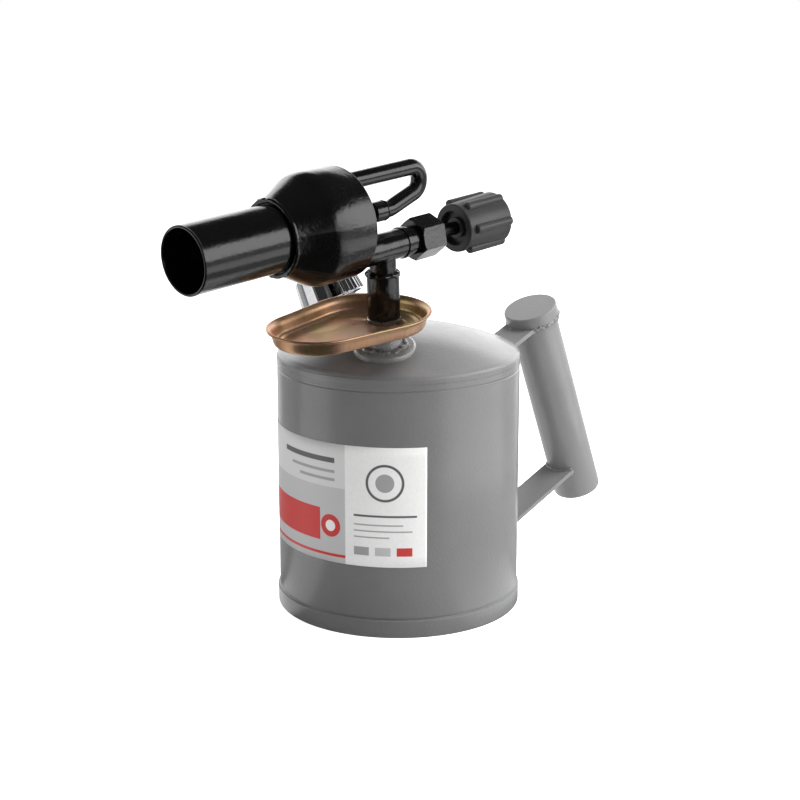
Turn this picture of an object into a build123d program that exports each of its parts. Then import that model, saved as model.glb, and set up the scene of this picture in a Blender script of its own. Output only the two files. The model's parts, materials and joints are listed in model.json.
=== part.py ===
from build123d import *
import os
from math import acos, asin, cos, degrees, hypot, radians, sin, sqrt, tan

os.makedirs("parts", exist_ok=True)

# A one litre petrol blowlamp, in millimetres. The origin is the middle of the tank's base,
# +Z is up and the nozzle points along -X, with the handle behind at +X.

# Clearances and cutters
running = 0.05
seat_gap = 0.02
overrun = 5.0
edge_break = 0.3

# Tank
tank_radius = 55.0
tank_sheet = 1.0
wall_height = 115.0
dome_rise = 14.2
dome_lip = 2.6
dome_knuckle = 3.0
dome_skirt = 7.0
seam_drop = 4.2
seam_radius = 0.7
seam_depth = 0.3
base_band = 8.5
rim_overhang = 0.8
rim_round = 0.6
base_recess = 6.0
base_bulge = 2.0
base_round = 1.8

# Riser, which stands off the middle of the dome and leans its top forward and outward
riser_ahead_share = 0.4873
riser_aside_share = 0.3455
riser_lean = 5.0
riser_side_lean = 3.5
riser_radius = 7.05
riser_bore = 3.4
riser_top = 33.2
riser_stub_radius = 6.0
riser_stub_bottom = 2.0

# Riser boss and its weld
boss_radius = 7.8
boss_height = 11.5
boss_sink = 8.0
weld_radius = 13.6
weld_height = 2.3
weld_round = 1.5

# Fuel feed inside the tank
feed_radius = 4.2
feed_wall = 0.8
feed_floor_gap = 8.0
wick_radius = 3.1
filter_radius = 5.6
filter_wall = 0.6
filter_length = 12.0
filter_base = 1.0

# Preheating tray
tray_sheet = 0.7
tray_depth = 7.0
tray_heel_radius = 26.9
tray_toe_radius = 22.2
tray_heel_ahead = 8.7
tray_span = 29.0
tray_rim_width = 2.3
tray_rim_height = 1.8
tray_rim_round = 0.8
tray_draft = 0.6
tray_floor_round = 2.0
lock_ring_radius = 7.6
lock_ring_height = 1.9
lock_ring_chamfer = 0.4

# Valve body
valve_height = 44.9
valve_radius = 6.4
valve_front = 28.0
valve_rear = 10.2
valve_neck_radius = 5.8
valve_thread_radius = 5.4
valve_thread_end = 26.5
valve_seat = 5.0
valve_jet_bore = 1.3
vaporiser_socket = 6.0
gland_chamber_radius = 4.2
gland_chamber_start = 16.5

# Gland
gland_nut_flats = 16.4
gland_nut_turn = -10.0
gland_nut_collar_radius = 6.9
gland_nut_collar = 2.0
gland_nut_neck_radius = 6.4
gland_nut_neck = 5.2
gland_nut_end = 30.4
gland_nut_chamfer = 1.0
gland_washer = 1.0
gland_packing_length = 6.0

# Needle spindle and knob
spindle_radius = 2.9
needle_radius = 2.4
needle_tip_radius = 0.4
needle_tip_length = 3.5
needle_tip_reach = 6.0
needle_end = 4.0
knob_front = 43.5
knob_length = 26.0
knob_radius = 10.8
knob_rear_radius = 11.7
knob_rim_round = 0.9
knob_rib_count = 6
knob_rib_turn = 26.5
knob_rib_radius = 2.1
knob_rib_stand = 2.2
knob_rib_start = 3.2
knob_rib_end = 0.5
knob_rib_round = 0.8
knob_dish_radius = 7.8
knob_dish_depth = 3.2
knob_hub_radius = 4.6
knob_hub_length = 2.2
knob_socket = 14.0
knob_back_radius = 5.4
knob_back_depth = 3.0
screw_head_radius = 3.6
screw_head_height = 2.2
screw_radius = 2.0
screw_slot_width = 0.9
screw_slot_depth = 0.9

# Burner, whose axis runs parallel to the valve's
bell_height = 61.1
bell_wall = 1.2
bell_rear = 25.0
bell_rear_radius = 23.4
bell_shoulder = 43.5
bell_shoulder_radius = 23.8
bell_cone_end = 59.9
bell_shoulder_round = 12.0
lip_centre = 60.9
lip_roll_radius = 1.0
barrel_radius = 14.0
barrel_wall = 1.1
barrel_inner_end = 53.7
barrel_mouth = 105.5
barrel_edge_round = 0.4
bell_pad_width = 7.0
bell_pad_length = 3.0

# Vaporiser tube
tube_radius = 3.6
tube_bore = 2.0
tube_top_height = 76.9
tube_loop_ahead = 41.0
tube_loop_side = 15.4
tube_loop_low_side = 11.5
tube_loop_high_side = 10.5
tube_loop_low_lift = 2.5
tube_loop_high_drop = 4.0
tube_loop_bend = 5.5
tube_turn_behind = 22.5
tube_turn_height = 66.7
tube_turn_bend = 5.7
tube_jet_bend = 10.0
tube_jet_knee = 4.6
tube_end = -1.8

# Jet
jet_holder_radius = 4.4
jet_holder_rear = 0.6
jet_holder_length = 6.9
jet_holder_chamfer = 0.6
jet_stem_radius = 3.0
jet_stem_end = 18.7
jet_passage = 1.0
jet_nozzle_flats = 5.0
jet_nozzle_length = 2.4
jet_tip_radius = 1.5
jet_tip_length = 2.0
jet_hole = 0.25
jet_spigot = 4.0
jet_spigot_radius = 1.9

# Handle
handle_stand = 72.6
handle_bottom_z = 27.2
handle_lean = 21.5
handle_radius = 11.7
handle_wall = 1.3
handle_length = 103.6
handle_plug_depth = 5.0
handle_plug_round = 0.9
handle_cap_radius = 13.0
handle_cap_height = 5.6
handle_cap_top = 1.3
handle_cap_round = 0.7
strap_width = 17.6
strap_sheet = 2.0
lower_strap_place = 14.2
upper_strap_drop = 6.3

# Pump, which leans away from the middle of the dome
pump_ahead_share = 0.1455
pump_aside_share = 0.4909
pump_lean = 28.0
pump_boss_radius = 14.0
pump_boss_land = 0.2
pump_weld_radius = 16.0
pump_barrel_radius = 11.0
pump_barrel_wall = 1.0
pump_barrel_depth = 64.0
pump_flange_radius = 13.6
pump_flange = 2.4
gasket_sheet = 1.4
gasket_inset = 0.3
head_flats = 21.0
head_height = 3.4
head_spigot = 5.0
head_chamfer = 0.5
rod_radius = 3.0
rod_knob_reach = 8.0
pump_knob_gap = 0.7
pump_knob_lap = 2.4
pump_knob_height = 14.0
pump_knob_foot_radius = 15.0
pump_knob_top_radius = 13.3
pump_knob_skirt = 1.6
pump_knob_round = 1.0
pump_rib_count = 8
pump_rib_step = 9.5
pump_rib_radius = 0.8
pump_stroke = 50.0
piston_radius = 9.5
piston_disc = 3.0
leather = 1.4
leather_lip = 5.0
piston_nut_flats = 8.0
piston_nut_height = 3.0
piston_floor_gap = 1.0

# Non-return valve under the pump
check_plug_depth = 4.0
check_flange = 3.0
check_nipple_radius = 6.0
check_nipple_length = 13.0
check_passage = 1.2
check_seat_depth = 3.0
check_chamber_radius = 4.0
check_disc_radius = 3.4
check_disc_height = 2.0
check_cage = 2.4
check_cage_hole = 1.0
check_spring_radius = 2.4
check_spring_wire = 0.3
check_spring_turns = 5
check_lift = 1.5

# Places worked out from the sizes above
rim_height = base_band - rim_overhang
dome_top = wall_height + dome_rise
crown_rise = dome_rise - dome_lip
crown_radius = (tank_radius**2 + crown_rise**2) / (2 * crown_rise)
crown_centre = dome_top - crown_radius
bell_neck_radius = barrel_radius + bell_wall


def crown_height(reach):
    """Height of the dome's crown at a distance from the tank's axis."""
    return crown_centre + sqrt(crown_radius**2 - reach**2)


def cap_arc(centre, radius, reach):
    """A line of a dished end, from its edge to the tank's axis."""
    start = degrees(acos(reach / radius))
    return CenterArc((0, centre), radius, start, 90 - start)


def is_round(edge):
    """A whole circle, which tells a rim from the seams of the faces beside it."""
    return edge.geom_type == GeomType.CIRCLE and edge.is_closed


riser_ahead = tank_radius * riser_ahead_share
riser_aside = tank_radius * riser_aside_share
lean = radians(riser_lean)
side_lean = radians(riser_side_lean)
riser_base = (-riser_ahead, -riser_aside, crown_height(hypot(riser_ahead, riser_aside)))
riser_frame = Plane(
    origin=riser_base,
    x_dir=(cos(lean), 0, sin(lean)),
    z_dir=(-sin(lean) * cos(side_lean), -sin(side_lean), cos(lean) * cos(side_lean)),
)
riser_line = Axis(riser_frame.origin, riser_frame.z_dir)
# Both axes run towards the knob. Their frames have x up and z along the axis.
valve_axis = Plane(
    origin=riser_frame.from_local_coords((0, 0, valve_height)),
    x_dir=riser_frame.z_dir,
    z_dir=riser_frame.x_dir,
)
burner_axis = Plane(
    origin=riser_frame.from_local_coords((0, 0, bell_height)),
    x_dir=riser_frame.z_dir,
    z_dir=riser_frame.x_dir,
)
burner_side = Plane(origin=burner_axis.origin, x_dir=riser_frame.x_dir, z_dir=-riser_frame.y_dir)
valve_side = Plane(origin=valve_axis.origin, x_dir=riser_frame.x_dir, z_dir=-riser_frame.y_dir)
burner_line = Axis(burner_axis.origin, burner_axis.z_dir)

handle_angle = radians(handle_lean)
handle_bottom_x = tank_radius + handle_stand
upper_strap_place = handle_length - upper_strap_drop
handle_frame = Plane(
    origin=(handle_bottom_x, 0, handle_bottom_z),
    x_dir=(cos(handle_angle), 0, sin(handle_angle)),
    z_dir=(-sin(handle_angle), 0, cos(handle_angle)),
)

pump_x = -tank_radius * pump_ahead_share
pump_y = tank_radius * pump_aside_share
pump_reach = hypot(pump_x, pump_y)
pump_out = (pump_x / pump_reach, pump_y / pump_reach)
pump_angle = radians(pump_lean)
# The boss clears its weld on the side where the dome rises towards it.
pump_tilt = pump_angle - asin(pump_reach / crown_radius)
pump_boss_height = weld_height + pump_boss_radius * tan(pump_tilt) + pump_boss_land
pump_frame = Plane(
    origin=(pump_x, pump_y, crown_height(pump_reach)),
    x_dir=(pump_out[0] * cos(pump_angle), pump_out[1] * cos(pump_angle), -sin(pump_angle)),
    z_dir=(pump_out[0] * sin(pump_angle), pump_out[1] * sin(pump_angle), cos(pump_angle)),
)
handle_line = Axis(handle_frame.origin, handle_frame.z_dir)
pump_line = Axis(pump_frame.origin, pump_frame.z_dir)
valve_line = Axis(valve_axis.origin, valve_axis.z_dir)


# Tank
with BuildPart() as tank_shell:
    with BuildSketch(Plane.XZ):
        with BuildLine():
            Polyline(
                (tank_radius - tank_sheet, 0),
                (tank_radius + rim_overhang, 0),
                (tank_radius + rim_overhang, rim_height),
                (tank_radius, rim_height + rim_overhang),
                (tank_radius, wall_height - edge_break),
                (tank_radius - edge_break, wall_height),
                (tank_radius - tank_sheet, wall_height),
                close=True,
            )
        face = make_face()
        fillet(face.vertices().group_by(Axis.X)[-1], rim_round)
        with Locations(
            (tank_radius + seam_radius - seam_depth, base_band),
            (tank_radius + seam_radius - seam_depth, wall_height - seam_drop),
        ):
            Circle(seam_radius, mode=Mode.SUBTRACT)
    revolve(axis=Axis.Z)
tank_shell.part.label = "tank_shell"
export_step(tank_shell.part, "parts/tank_shell.step")

with BuildPart() as tank_bottom:
    flange_outer = tank_radius - tank_sheet
    flange_inner = flange_outer - tank_sheet
    dish_radius = (flange_inner**2 + base_bulge**2) / (2 * base_bulge)
    dish_centre = base_recess + base_bulge - dish_radius
    with BuildSketch(Plane.XZ):
        with BuildLine():
            under = cap_arc(dish_centre, dish_radius, flange_inner)
            top = cap_arc(dish_centre, dish_radius + tank_sheet, flange_outer)
            Line(under @ 1, top @ 1)
            Polyline(under @ 0, (flange_inner, 0), (flange_outer, 0), top @ 0)
        make_face()
    revolve(axis=Axis.Z)
    bends = tank_bottom.edges().filter_by(is_round).sort_by(Axis.Z)
    fillet(bends[-1], base_round)
    fillet(bends[-2], base_round - tank_sheet)
tank_bottom.part.label = "tank_bottom"
export_step(tank_bottom.part, "parts/tank_bottom.step")

with BuildPart() as tank_dome:
    skirt_outer = tank_radius - tank_sheet
    skirt_inner = skirt_outer - tank_sheet
    with BuildSketch(Plane.XZ):
        with BuildLine():
            crown = cap_arc(crown_centre, crown_radius, tank_radius)
            hollow = cap_arc(crown_centre, crown_radius - tank_sheet, skirt_inner)
            Line(crown @ 1, hollow @ 1)
            Polyline(
                crown @ 0,
                (tank_radius, wall_height + edge_break),
                (tank_radius - edge_break, wall_height),
                (skirt_outer, wall_height),
                (skirt_outer, wall_height - dome_skirt),
                (skirt_inner, wall_height - dome_skirt),
                hollow @ 0,
            )
        make_face()
    revolve(axis=Axis.Z)
    shoulder = tank_dome.edges().filter_by(is_round).sort_by(Axis.Z)[-1]
    fillet(shoulder, dome_knuckle)
    with BuildSketch(riser_frame.offset(-boss_sink - overrun)):
        Circle(boss_radius + seat_gap)
    extrude(amount=boss_sink + boss_height + overrun, mode=Mode.SUBTRACT)
    with BuildSketch(pump_frame.offset(-boss_sink - overrun)):
        Circle(pump_boss_radius + seat_gap)
    extrude(amount=boss_sink + boss_height + overrun, mode=Mode.SUBTRACT)
tank_dome.part.label = "tank_dome"
export_step(tank_dome.part, "parts/tank_dome.step")


def weld_bead(frame, outer, inner):
    """A weld run that follows the dome round a bush."""
    with BuildPart() as bead:
        with BuildSketch(frame.offset(-boss_sink)):
            Circle(outer)
        extrude(amount=boss_sink + boss_height)
        with Locations((0, 0, crown_centre)):
            Sphere(crown_radius + weld_height, mode=Mode.INTERSECT)
        crest = bead.faces().sort_by(Axis(frame.origin, frame.z_dir))[-1]
        fillet(crest.edges(), weld_round)
        with Locations((0, 0, crown_centre)):
            Sphere(crown_radius + seat_gap, mode=Mode.SUBTRACT)
        with BuildSketch(frame.offset(-boss_sink - overrun)):
            Circle(inner)
        extrude(amount=boss_sink + boss_height + 2 * overrun, mode=Mode.SUBTRACT)
    return bead.part


# Bushes on the dome
riser_weld = weld_bead(riser_frame, weld_radius, boss_radius)
pump_weld = weld_bead(pump_frame, pump_weld_radius, pump_boss_radius)
with BuildPart() as riser_boss:
    add(riser_weld)
    with BuildSketch(riser_frame.offset(-boss_sink)):
        Circle(boss_radius)
    extrude(amount=boss_sink + boss_height)
    chamfer(riser_boss.faces().sort_by(riser_line)[-1].edges(), edge_break)
    with BuildSketch(riser_frame.offset(riser_stub_bottom)):
        Circle(riser_stub_radius + seat_gap)
    extrude(amount=boss_height, mode=Mode.SUBTRACT)
    with BuildSketch(riser_frame.offset(-boss_sink - overrun)):
        Circle(feed_radius + seat_gap)
    extrude(amount=boss_sink + boss_height + overrun, mode=Mode.SUBTRACT)
riser_boss.part.label = "riser_boss"
export_step(riser_boss.part, "parts/riser_boss.step")

with BuildPart() as pump_boss:
    add(pump_weld)
    with BuildSketch(pump_frame.offset(-boss_sink)):
        Circle(pump_boss_radius)
    extrude(amount=boss_sink + pump_boss_height)
    chamfer(pump_boss.faces().sort_by(pump_line)[-1].edges(), edge_break)
    with BuildSketch(pump_frame.offset(-boss_sink - overrun)):
        Circle(pump_barrel_radius + seat_gap)
    extrude(amount=boss_sink + boss_height + overrun, mode=Mode.SUBTRACT)
pump_boss.part.label = "pump_boss"
export_step(pump_boss.part, "parts/pump_boss.step")

# Handle
with BuildPart() as handle_tube:
    with BuildSketch(handle_frame):
        Circle(handle_radius)
        Circle(handle_radius - handle_wall, mode=Mode.SUBTRACT)
    extrude(amount=handle_length)
handle_tube.part.label = "handle_tube"
export_step(handle_tube.part, "parts/handle_tube.step")

with BuildPart() as handle_plug:
    with BuildSketch(handle_frame):
        Circle(handle_radius)
    extrude(amount=-handle_cap_top)
    fillet(handle_plug.faces().sort_by(handle_line)[0].edges(), handle_plug_round)
    with BuildSketch(handle_frame):
        Circle(handle_radius - handle_wall)
        Circle(handle_radius - 2 * handle_wall, mode=Mode.SUBTRACT)
    extrude(amount=handle_plug_depth)
handle_plug.part.label = "handle_plug"
export_step(handle_plug.part, "parts/handle_plug.step")

with BuildPart() as handle_cap:
    cap_foot = handle_length + handle_cap_top - handle_cap_height
    with BuildSketch(handle_frame.offset(cap_foot)):
        Circle(handle_cap_radius)
    extrude(amount=handle_cap_height)
    fillet(handle_cap.faces().sort_by(handle_line)[-1].edges(), handle_cap_round)
    with BuildSketch(handle_frame.offset(cap_foot)):
        Circle(handle_radius)
    extrude(amount=handle_cap_height - handle_cap_top, mode=Mode.SUBTRACT)
handle_cap.part.label = "handle_cap"
export_step(handle_cap.part, "parts/handle_cap.step")

# Each strap lies square to the handle and is cut to the round of the tank and of the tube.
for strap_name, strap_place in (
    ("lower_strap", lower_strap_place),
    ("upper_strap", upper_strap_place),
):
    strap_run = (handle_bottom_x - tank_radius / 2) / cos(handle_angle)
    with BuildPart() as strap:
        with BuildSketch(handle_frame.offset(strap_place)):
            with Locations((-strap_run / 2, 0)):
                Rectangle(strap_run, strap_width)
        extrude(amount=strap_sheet)
        with BuildSketch(Plane.XY):
            Circle(tank_radius)
        extrude(amount=dome_top, both=True, mode=Mode.SUBTRACT)
        with BuildSketch(handle_frame):
            Circle(handle_radius)
        extrude(amount=handle_length, mode=Mode.SUBTRACT)
    strap.part.label = strap_name
    export_step(strap.part, f"parts/{strap_name}.step")

# Riser, its feed inside the tank and the preheating tray
tray_floor = boss_height
lock_ring_foot = tray_floor + tray_sheet
riser_foot = lock_ring_foot + lock_ring_height
feed_drop = riser_base[2] - base_recess - base_bulge - tank_sheet - feed_floor_gap
feed_end = feed_drop / riser_frame.z_dir.Z

with BuildPart() as riser_pipe:
    with BuildSketch(riser_frame.offset(riser_stub_bottom)):
        Circle(riser_stub_radius)
    extrude(amount=riser_foot - riser_stub_bottom)
    with BuildSketch(riser_frame.offset(riser_foot)):
        Circle(riser_radius)
    extrude(amount=riser_top - riser_foot)
    chamfer(riser_pipe.faces().sort_by(riser_line)[-1].edges(), edge_break)
    with BuildSketch(riser_frame.offset(riser_stub_bottom)):
        Circle(riser_bore)
    extrude(amount=riser_top, mode=Mode.SUBTRACT)
riser_pipe.part.label = "riser_pipe"
export_step(riser_pipe.part, "parts/riser_pipe.step")

with BuildPart() as feed_tube:
    with BuildSketch(riser_frame.offset(-feed_end)):
        Circle(feed_radius)
        Circle(feed_radius - feed_wall, mode=Mode.SUBTRACT)
    extrude(amount=feed_end + riser_stub_bottom)
feed_tube.part.label = "feed_tube"
export_step(feed_tube.part, "parts/feed_tube.step")

with BuildPart() as feed_wick:
    with BuildSketch(riser_frame.offset(-feed_end)):
        Circle(wick_radius)
    extrude(amount=feed_end + riser_top)
feed_wick.part.label = "feed_wick"
export_step(feed_wick.part, "parts/feed_wick.step")

with BuildPart() as gauze_filter:
    with BuildSketch(riser_frame.offset(-feed_end - filter_base)):
        Circle(filter_radius)
    extrude(amount=filter_length)
    fillet(gauze_filter.faces().sort_by(riser_line)[0].edges(), filter_base)
    with BuildSketch(riser_frame.offset(-feed_end)):
        Circle(filter_radius - filter_wall)
    extrude(amount=filter_length - 2 * filter_base, mode=Mode.SUBTRACT)
    with BuildSketch(riser_frame.offset(-feed_end)):
        Circle(feed_radius)
    extrude(amount=filter_length, mode=Mode.SUBTRACT)
gauze_filter.part.label = "gauze_filter"
export_step(gauze_filter.part, "parts/gauze_filter.step")


def teardrop(inset):
    """The tray's outline, a wide heel round the riser and a narrower toe under the nozzle."""
    with Locations((-tray_heel_ahead, 0)):
        Circle(tray_heel_radius - inset)
    with Locations((-tray_heel_ahead - tray_span, 0)):
        Circle(tray_toe_radius - inset)
    make_hull()


def pan(foot, depth, inset, bend):
    """A solid pan of the tray's outline, drawn in towards its floor and rounded round it."""
    with BuildPart() as form:
        with BuildSketch(riser_frame.offset(foot)):
            teardrop(inset + tray_draft)
        with BuildSketch(riser_frame.offset(foot + depth)):
            teardrop(inset)
        loft()
        fillet(form.faces().sort_by(riser_line)[0].edges(), bend)
    return form.part


tray_form = pan(tray_floor, tray_depth + tray_sheet, tray_rim_width, tray_floor_round)
tray_hollow = pan(
    tray_floor + tray_sheet,
    tray_depth + tray_sheet,
    tray_rim_width + tray_sheet,
    tray_floor_round - tray_sheet,
)
with BuildPart() as preheat_tray:
    add(tray_form)
    with BuildSketch(riser_frame.offset(tray_floor + tray_depth + tray_sheet - tray_rim_height)):
        teardrop(0)
    extrude(amount=tray_rim_height)
    crest = preheat_tray.faces().sort_by(riser_line)[-1]
    fillet(crest.edges(), tray_rim_round)
    add(tray_hollow, mode=Mode.SUBTRACT)
    with BuildSketch(riser_frame.offset(tray_floor - overrun)):
        Circle(riser_stub_radius + seat_gap)
    extrude(amount=2 * overrun, mode=Mode.SUBTRACT)
preheat_tray.part.label = "preheat_tray"
export_step(preheat_tray.part, "parts/preheat_tray.step")

with BuildPart() as tray_lock_ring:
    with BuildSketch(riser_frame.offset(lock_ring_foot)):
        Circle(lock_ring_radius)
        Circle(riser_stub_radius + seat_gap, mode=Mode.SUBTRACT)
    extrude(amount=lock_ring_height)
    rims = tray_lock_ring.faces().sort_by(riser_line)[-1].outer_wire().edges()
    chamfer(rims, lock_ring_chamfer)
tray_lock_ring.part.label = "tray_lock_ring"
export_step(tray_lock_ring.part, "parts/tray_lock_ring.step")

# Valve body, a cross tube whose neck takes the riser and whose front takes the vaporiser
with BuildPart() as valve_body:
    with BuildSketch(valve_axis.offset(-valve_front)):
        Circle(valve_radius)
    extrude(amount=valve_front + valve_rear)
    with BuildSketch(valve_axis.offset(valve_rear)):
        Circle(valve_thread_radius)
    extrude(amount=valve_thread_end - valve_rear)
    with BuildSketch(riser_frame.offset(riser_top)):
        Circle(valve_neck_radius)
    extrude(amount=valve_height - riser_top)
    with BuildSketch(riser_frame.offset(riser_top - overrun)):
        Circle(riser_bore)
    extrude(amount=valve_height + overrun - riser_top, mode=Mode.SUBTRACT)
    with BuildSketch(valve_axis.offset(-valve_front - overrun)):
        Circle(tube_radius + seat_gap)
    extrude(amount=vaporiser_socket + overrun, mode=Mode.SUBTRACT)
    with BuildSketch(valve_axis.offset(-valve_front)):
        Circle(valve_jet_bore)
    extrude(amount=valve_front, mode=Mode.SUBTRACT)
    with BuildSketch(valve_axis.offset(-valve_seat)):
        Circle(spindle_radius + running)
    extrude(amount=valve_thread_end + valve_seat + overrun, mode=Mode.SUBTRACT)
    with BuildSketch(valve_axis.offset(gland_chamber_start)):
        Circle(gland_chamber_radius)
    extrude(amount=valve_thread_end, mode=Mode.SUBTRACT)
valve_body.part.label = "valve_body"
export_step(valve_body.part, "parts/valve_body.step")

with BuildPart() as gland_washer_ring:
    with BuildSketch(valve_axis.offset(gland_chamber_start)):
        Circle(gland_chamber_radius - seat_gap)
        Circle(spindle_radius + running, mode=Mode.SUBTRACT)
    extrude(amount=gland_washer)
gland_washer_ring.part.label = "gland_washer"
export_step(gland_washer_ring.part, "parts/gland_washer.step")

packing_foot = gland_chamber_start + gland_washer
with BuildPart() as gland_packing:
    with BuildSketch(valve_axis.offset(packing_foot)):
        Circle(gland_chamber_radius - seat_gap)
        Circle(spindle_radius + running, mode=Mode.SUBTRACT)
    extrude(amount=gland_packing_length)
gland_packing.part.label = "gland_packing"
export_step(gland_packing.part, "parts/gland_packing.step")

nut_neck_foot = valve_rear + gland_nut_collar
nut_hex_foot = nut_neck_foot + gland_nut_neck
with BuildPart() as nut_corners:
    with BuildSketch(valve_axis.offset(nut_hex_foot)):
        Circle(gland_nut_flats / sqrt(3))
    extrude(amount=gland_nut_end - nut_hex_foot)
    rims = nut_corners.edges().filter_by(is_round).sort_by(valve_line)
    chamfer(rims[0], gland_nut_chamfer)
    chamfer(rims[-1], edge_break)
with BuildPart() as gland_nut:
    with BuildSketch(valve_axis.offset(nut_hex_foot)):
        RegularPolygon(gland_nut_flats / 2, 6, major_radius=False, rotation=gland_nut_turn)
    extrude(amount=gland_nut_end - nut_hex_foot)
    add(nut_corners.part, mode=Mode.INTERSECT)
    with BuildSketch(valve_axis.offset(nut_neck_foot)):
        Circle(gland_nut_neck_radius)
    extrude(amount=gland_nut_neck)
    with BuildSketch(valve_axis.offset(valve_rear)):
        Circle(gland_nut_collar_radius)
    extrude(amount=gland_nut_collar)
    with BuildSketch(valve_axis.offset(valve_rear - overrun)):
        Circle(valve_thread_radius + seat_gap)
    extrude(amount=valve_thread_end + overrun - valve_rear, mode=Mode.SUBTRACT)
    with BuildSketch(valve_axis.offset(valve_rear)):
        Circle(spindle_radius + running)
    extrude(amount=gland_nut_end, mode=Mode.SUBTRACT)
gland_nut.part.label = "gland_nut"
export_step(gland_nut.part, "parts/gland_nut.step")

# Needle spindle and its knob, which turn together
knob_back = knob_front + knob_length
spindle_end = knob_front + knob_socket
with BuildPart() as needle_spindle:
    with BuildSketch(valve_side):
        with BuildLine():
            Polyline(
                (-needle_tip_reach, 0),
                (-needle_tip_reach, needle_tip_radius),
                (needle_tip_length - needle_tip_reach, needle_radius),
                (needle_end, needle_radius),
                (needle_end + spindle_radius - needle_radius, spindle_radius),
                (spindle_end, spindle_radius),
                (spindle_end, 0),
                close=True,
            )
        make_face()
    revolve(axis=valve_line)
    with BuildSketch(valve_axis.offset(spindle_end)):
        Circle(screw_radius + seat_gap)
    extrude(amount=-knob_socket / 2, mode=Mode.SUBTRACT)
needle_spindle.part.label = "needle_spindle"
export_step(needle_spindle.part, "parts/needle_spindle.step")

with BuildPart() as knob_ribs:
    with BuildSketch(valve_axis.offset(knob_front + knob_rib_start)):
        rib_reach = knob_radius + knob_rib_stand - knob_rib_radius
        with PolarLocations(rib_reach, knob_rib_count, start_angle=knob_rib_turn):
            Circle(knob_rib_radius)
    extrude(amount=knob_length - knob_rib_start - knob_rib_end)
    fillet(knob_ribs.edges().filter_by(is_round), knob_rib_round)
with BuildPart() as valve_knob:
    with BuildSketch(valve_axis.offset(knob_front)):
        Circle(knob_radius)
    with BuildSketch(valve_axis.offset(knob_back)):
        Circle(knob_rear_radius)
    loft()
    fillet(valve_knob.edges().filter_by(is_round), knob_rim_round)
    add(knob_ribs.part)
    with BuildSketch(valve_axis.offset(knob_front)):
        Circle(knob_dish_radius)
    extrude(amount=knob_dish_depth, mode=Mode.SUBTRACT)
    with BuildSketch(valve_axis.offset(knob_front + knob_dish_depth)):
        Circle(knob_hub_radius)
    extrude(amount=-knob_hub_length)
    with BuildSketch(valve_axis.offset(knob_front)):
        Circle(spindle_radius + seat_gap)
    extrude(amount=knob_socket, mode=Mode.SUBTRACT)
    with BuildSketch(valve_axis.offset(knob_front)):
        Circle(screw_radius + seat_gap)
    extrude(amount=knob_length, mode=Mode.SUBTRACT)
    with BuildSketch(valve_axis.offset(knob_back)):
        Circle(knob_back_radius)
    extrude(amount=-knob_back_depth, mode=Mode.SUBTRACT)
valve_knob.part.label = "valve_knob"
export_step(valve_knob.part, "parts/valve_knob.step")

with BuildPart() as knob_screw:
    screw_seat = knob_back - knob_back_depth
    with BuildSketch(valve_axis.offset(screw_seat)):
        Circle(screw_head_radius)
    extrude(amount=screw_head_height)
    fillet(knob_screw.faces().sort_by(valve_line)[-1].edges(), screw_slot_depth)
    with BuildSketch(valve_axis.offset(screw_seat + screw_head_height)):
        Rectangle(2 * screw_head_radius, screw_slot_width)
    extrude(amount=-screw_slot_depth, mode=Mode.SUBTRACT)
    with BuildSketch(valve_axis.offset(screw_seat)):
        Circle(screw_radius)
    extrude(amount=spindle_end - knob_socket / 2 + seat_gap - screw_seat)
knob_screw.part.label = "knob_screw"
export_step(knob_screw.part, "parts/knob_screw.step")

# Burner bell, open at its rear. Its wall is let in and welded round the valve body's front end.
with BuildPart() as bell_pad:
    with BuildSketch(burner_axis.offset(-bell_rear)):
        with Locations((-bell_rear_radius, 0)):
            Rectangle(2 * bell_rear_radius, bell_pad_width)
    extrude(amount=-bell_pad_length)
    with BuildSketch(burner_axis.offset(-bell_rear)):
        Circle(bell_rear_radius - bell_wall / 2)
    extrude(amount=-bell_pad_length, mode=Mode.INTERSECT)
    with BuildSketch(valve_axis.offset(-bell_rear)):
        Circle(valve_radius + seat_gap)
        with Locations((bell_rear_radius, 0)):
            Rectangle(2 * bell_rear_radius, 2 * bell_rear_radius)
    extrude(amount=-bell_pad_length, mode=Mode.SUBTRACT)
with BuildPart() as burner_bell:
    with BuildSketch(burner_side):
        with BuildLine():
            Polyline(
                (-bell_rear, bell_rear_radius - bell_wall),
                (-bell_rear, bell_rear_radius),
                (-bell_shoulder, bell_shoulder_radius),
                (-bell_cone_end, bell_neck_radius),
                (-lip_centre, bell_neck_radius),
                (-lip_centre, barrel_radius + seat_gap),
                (-bell_cone_end, barrel_radius + seat_gap),
                (-bell_shoulder, bell_shoulder_radius - bell_wall),
                close=True,
            )
        make_face()
    revolve(axis=burner_line)
    bell_rims = burner_bell.edges().filter_by(is_round)
    shoulders = bell_rims.filter_by_position(
        burner_line, -bell_shoulder - edge_break, -bell_shoulder + edge_break
    )
    fillet(shoulders, bell_shoulder_round)
    with BuildSketch(burner_side):
        with Locations((-lip_centre, bell_neck_radius)):
            Circle(lip_roll_radius)
    revolve(axis=burner_line)
    add(bell_pad.part)
    with BuildSketch(valve_axis.offset(-bell_rear)):
        Circle(valve_radius + seat_gap)
    extrude(amount=bell_rear - valve_front - seat_gap, mode=Mode.SUBTRACT)
burner_bell.part.label = "burner_bell"
export_step(burner_bell.part, "parts/burner_bell.step")

with BuildPart() as burner_barrel:
    with BuildSketch(burner_axis.offset(-barrel_mouth)):
        Circle(barrel_radius)
        Circle(barrel_radius - barrel_wall, mode=Mode.SUBTRACT)
    extrude(amount=barrel_mouth - barrel_inner_end)
    mouth = burner_barrel.faces().sort_by(burner_line)[0]
    fillet(mouth.edges(), barrel_edge_round)
burner_barrel.part.label = "burner_barrel"
export_step(burner_barrel.part, "parts/burner_barrel.step")

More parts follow.
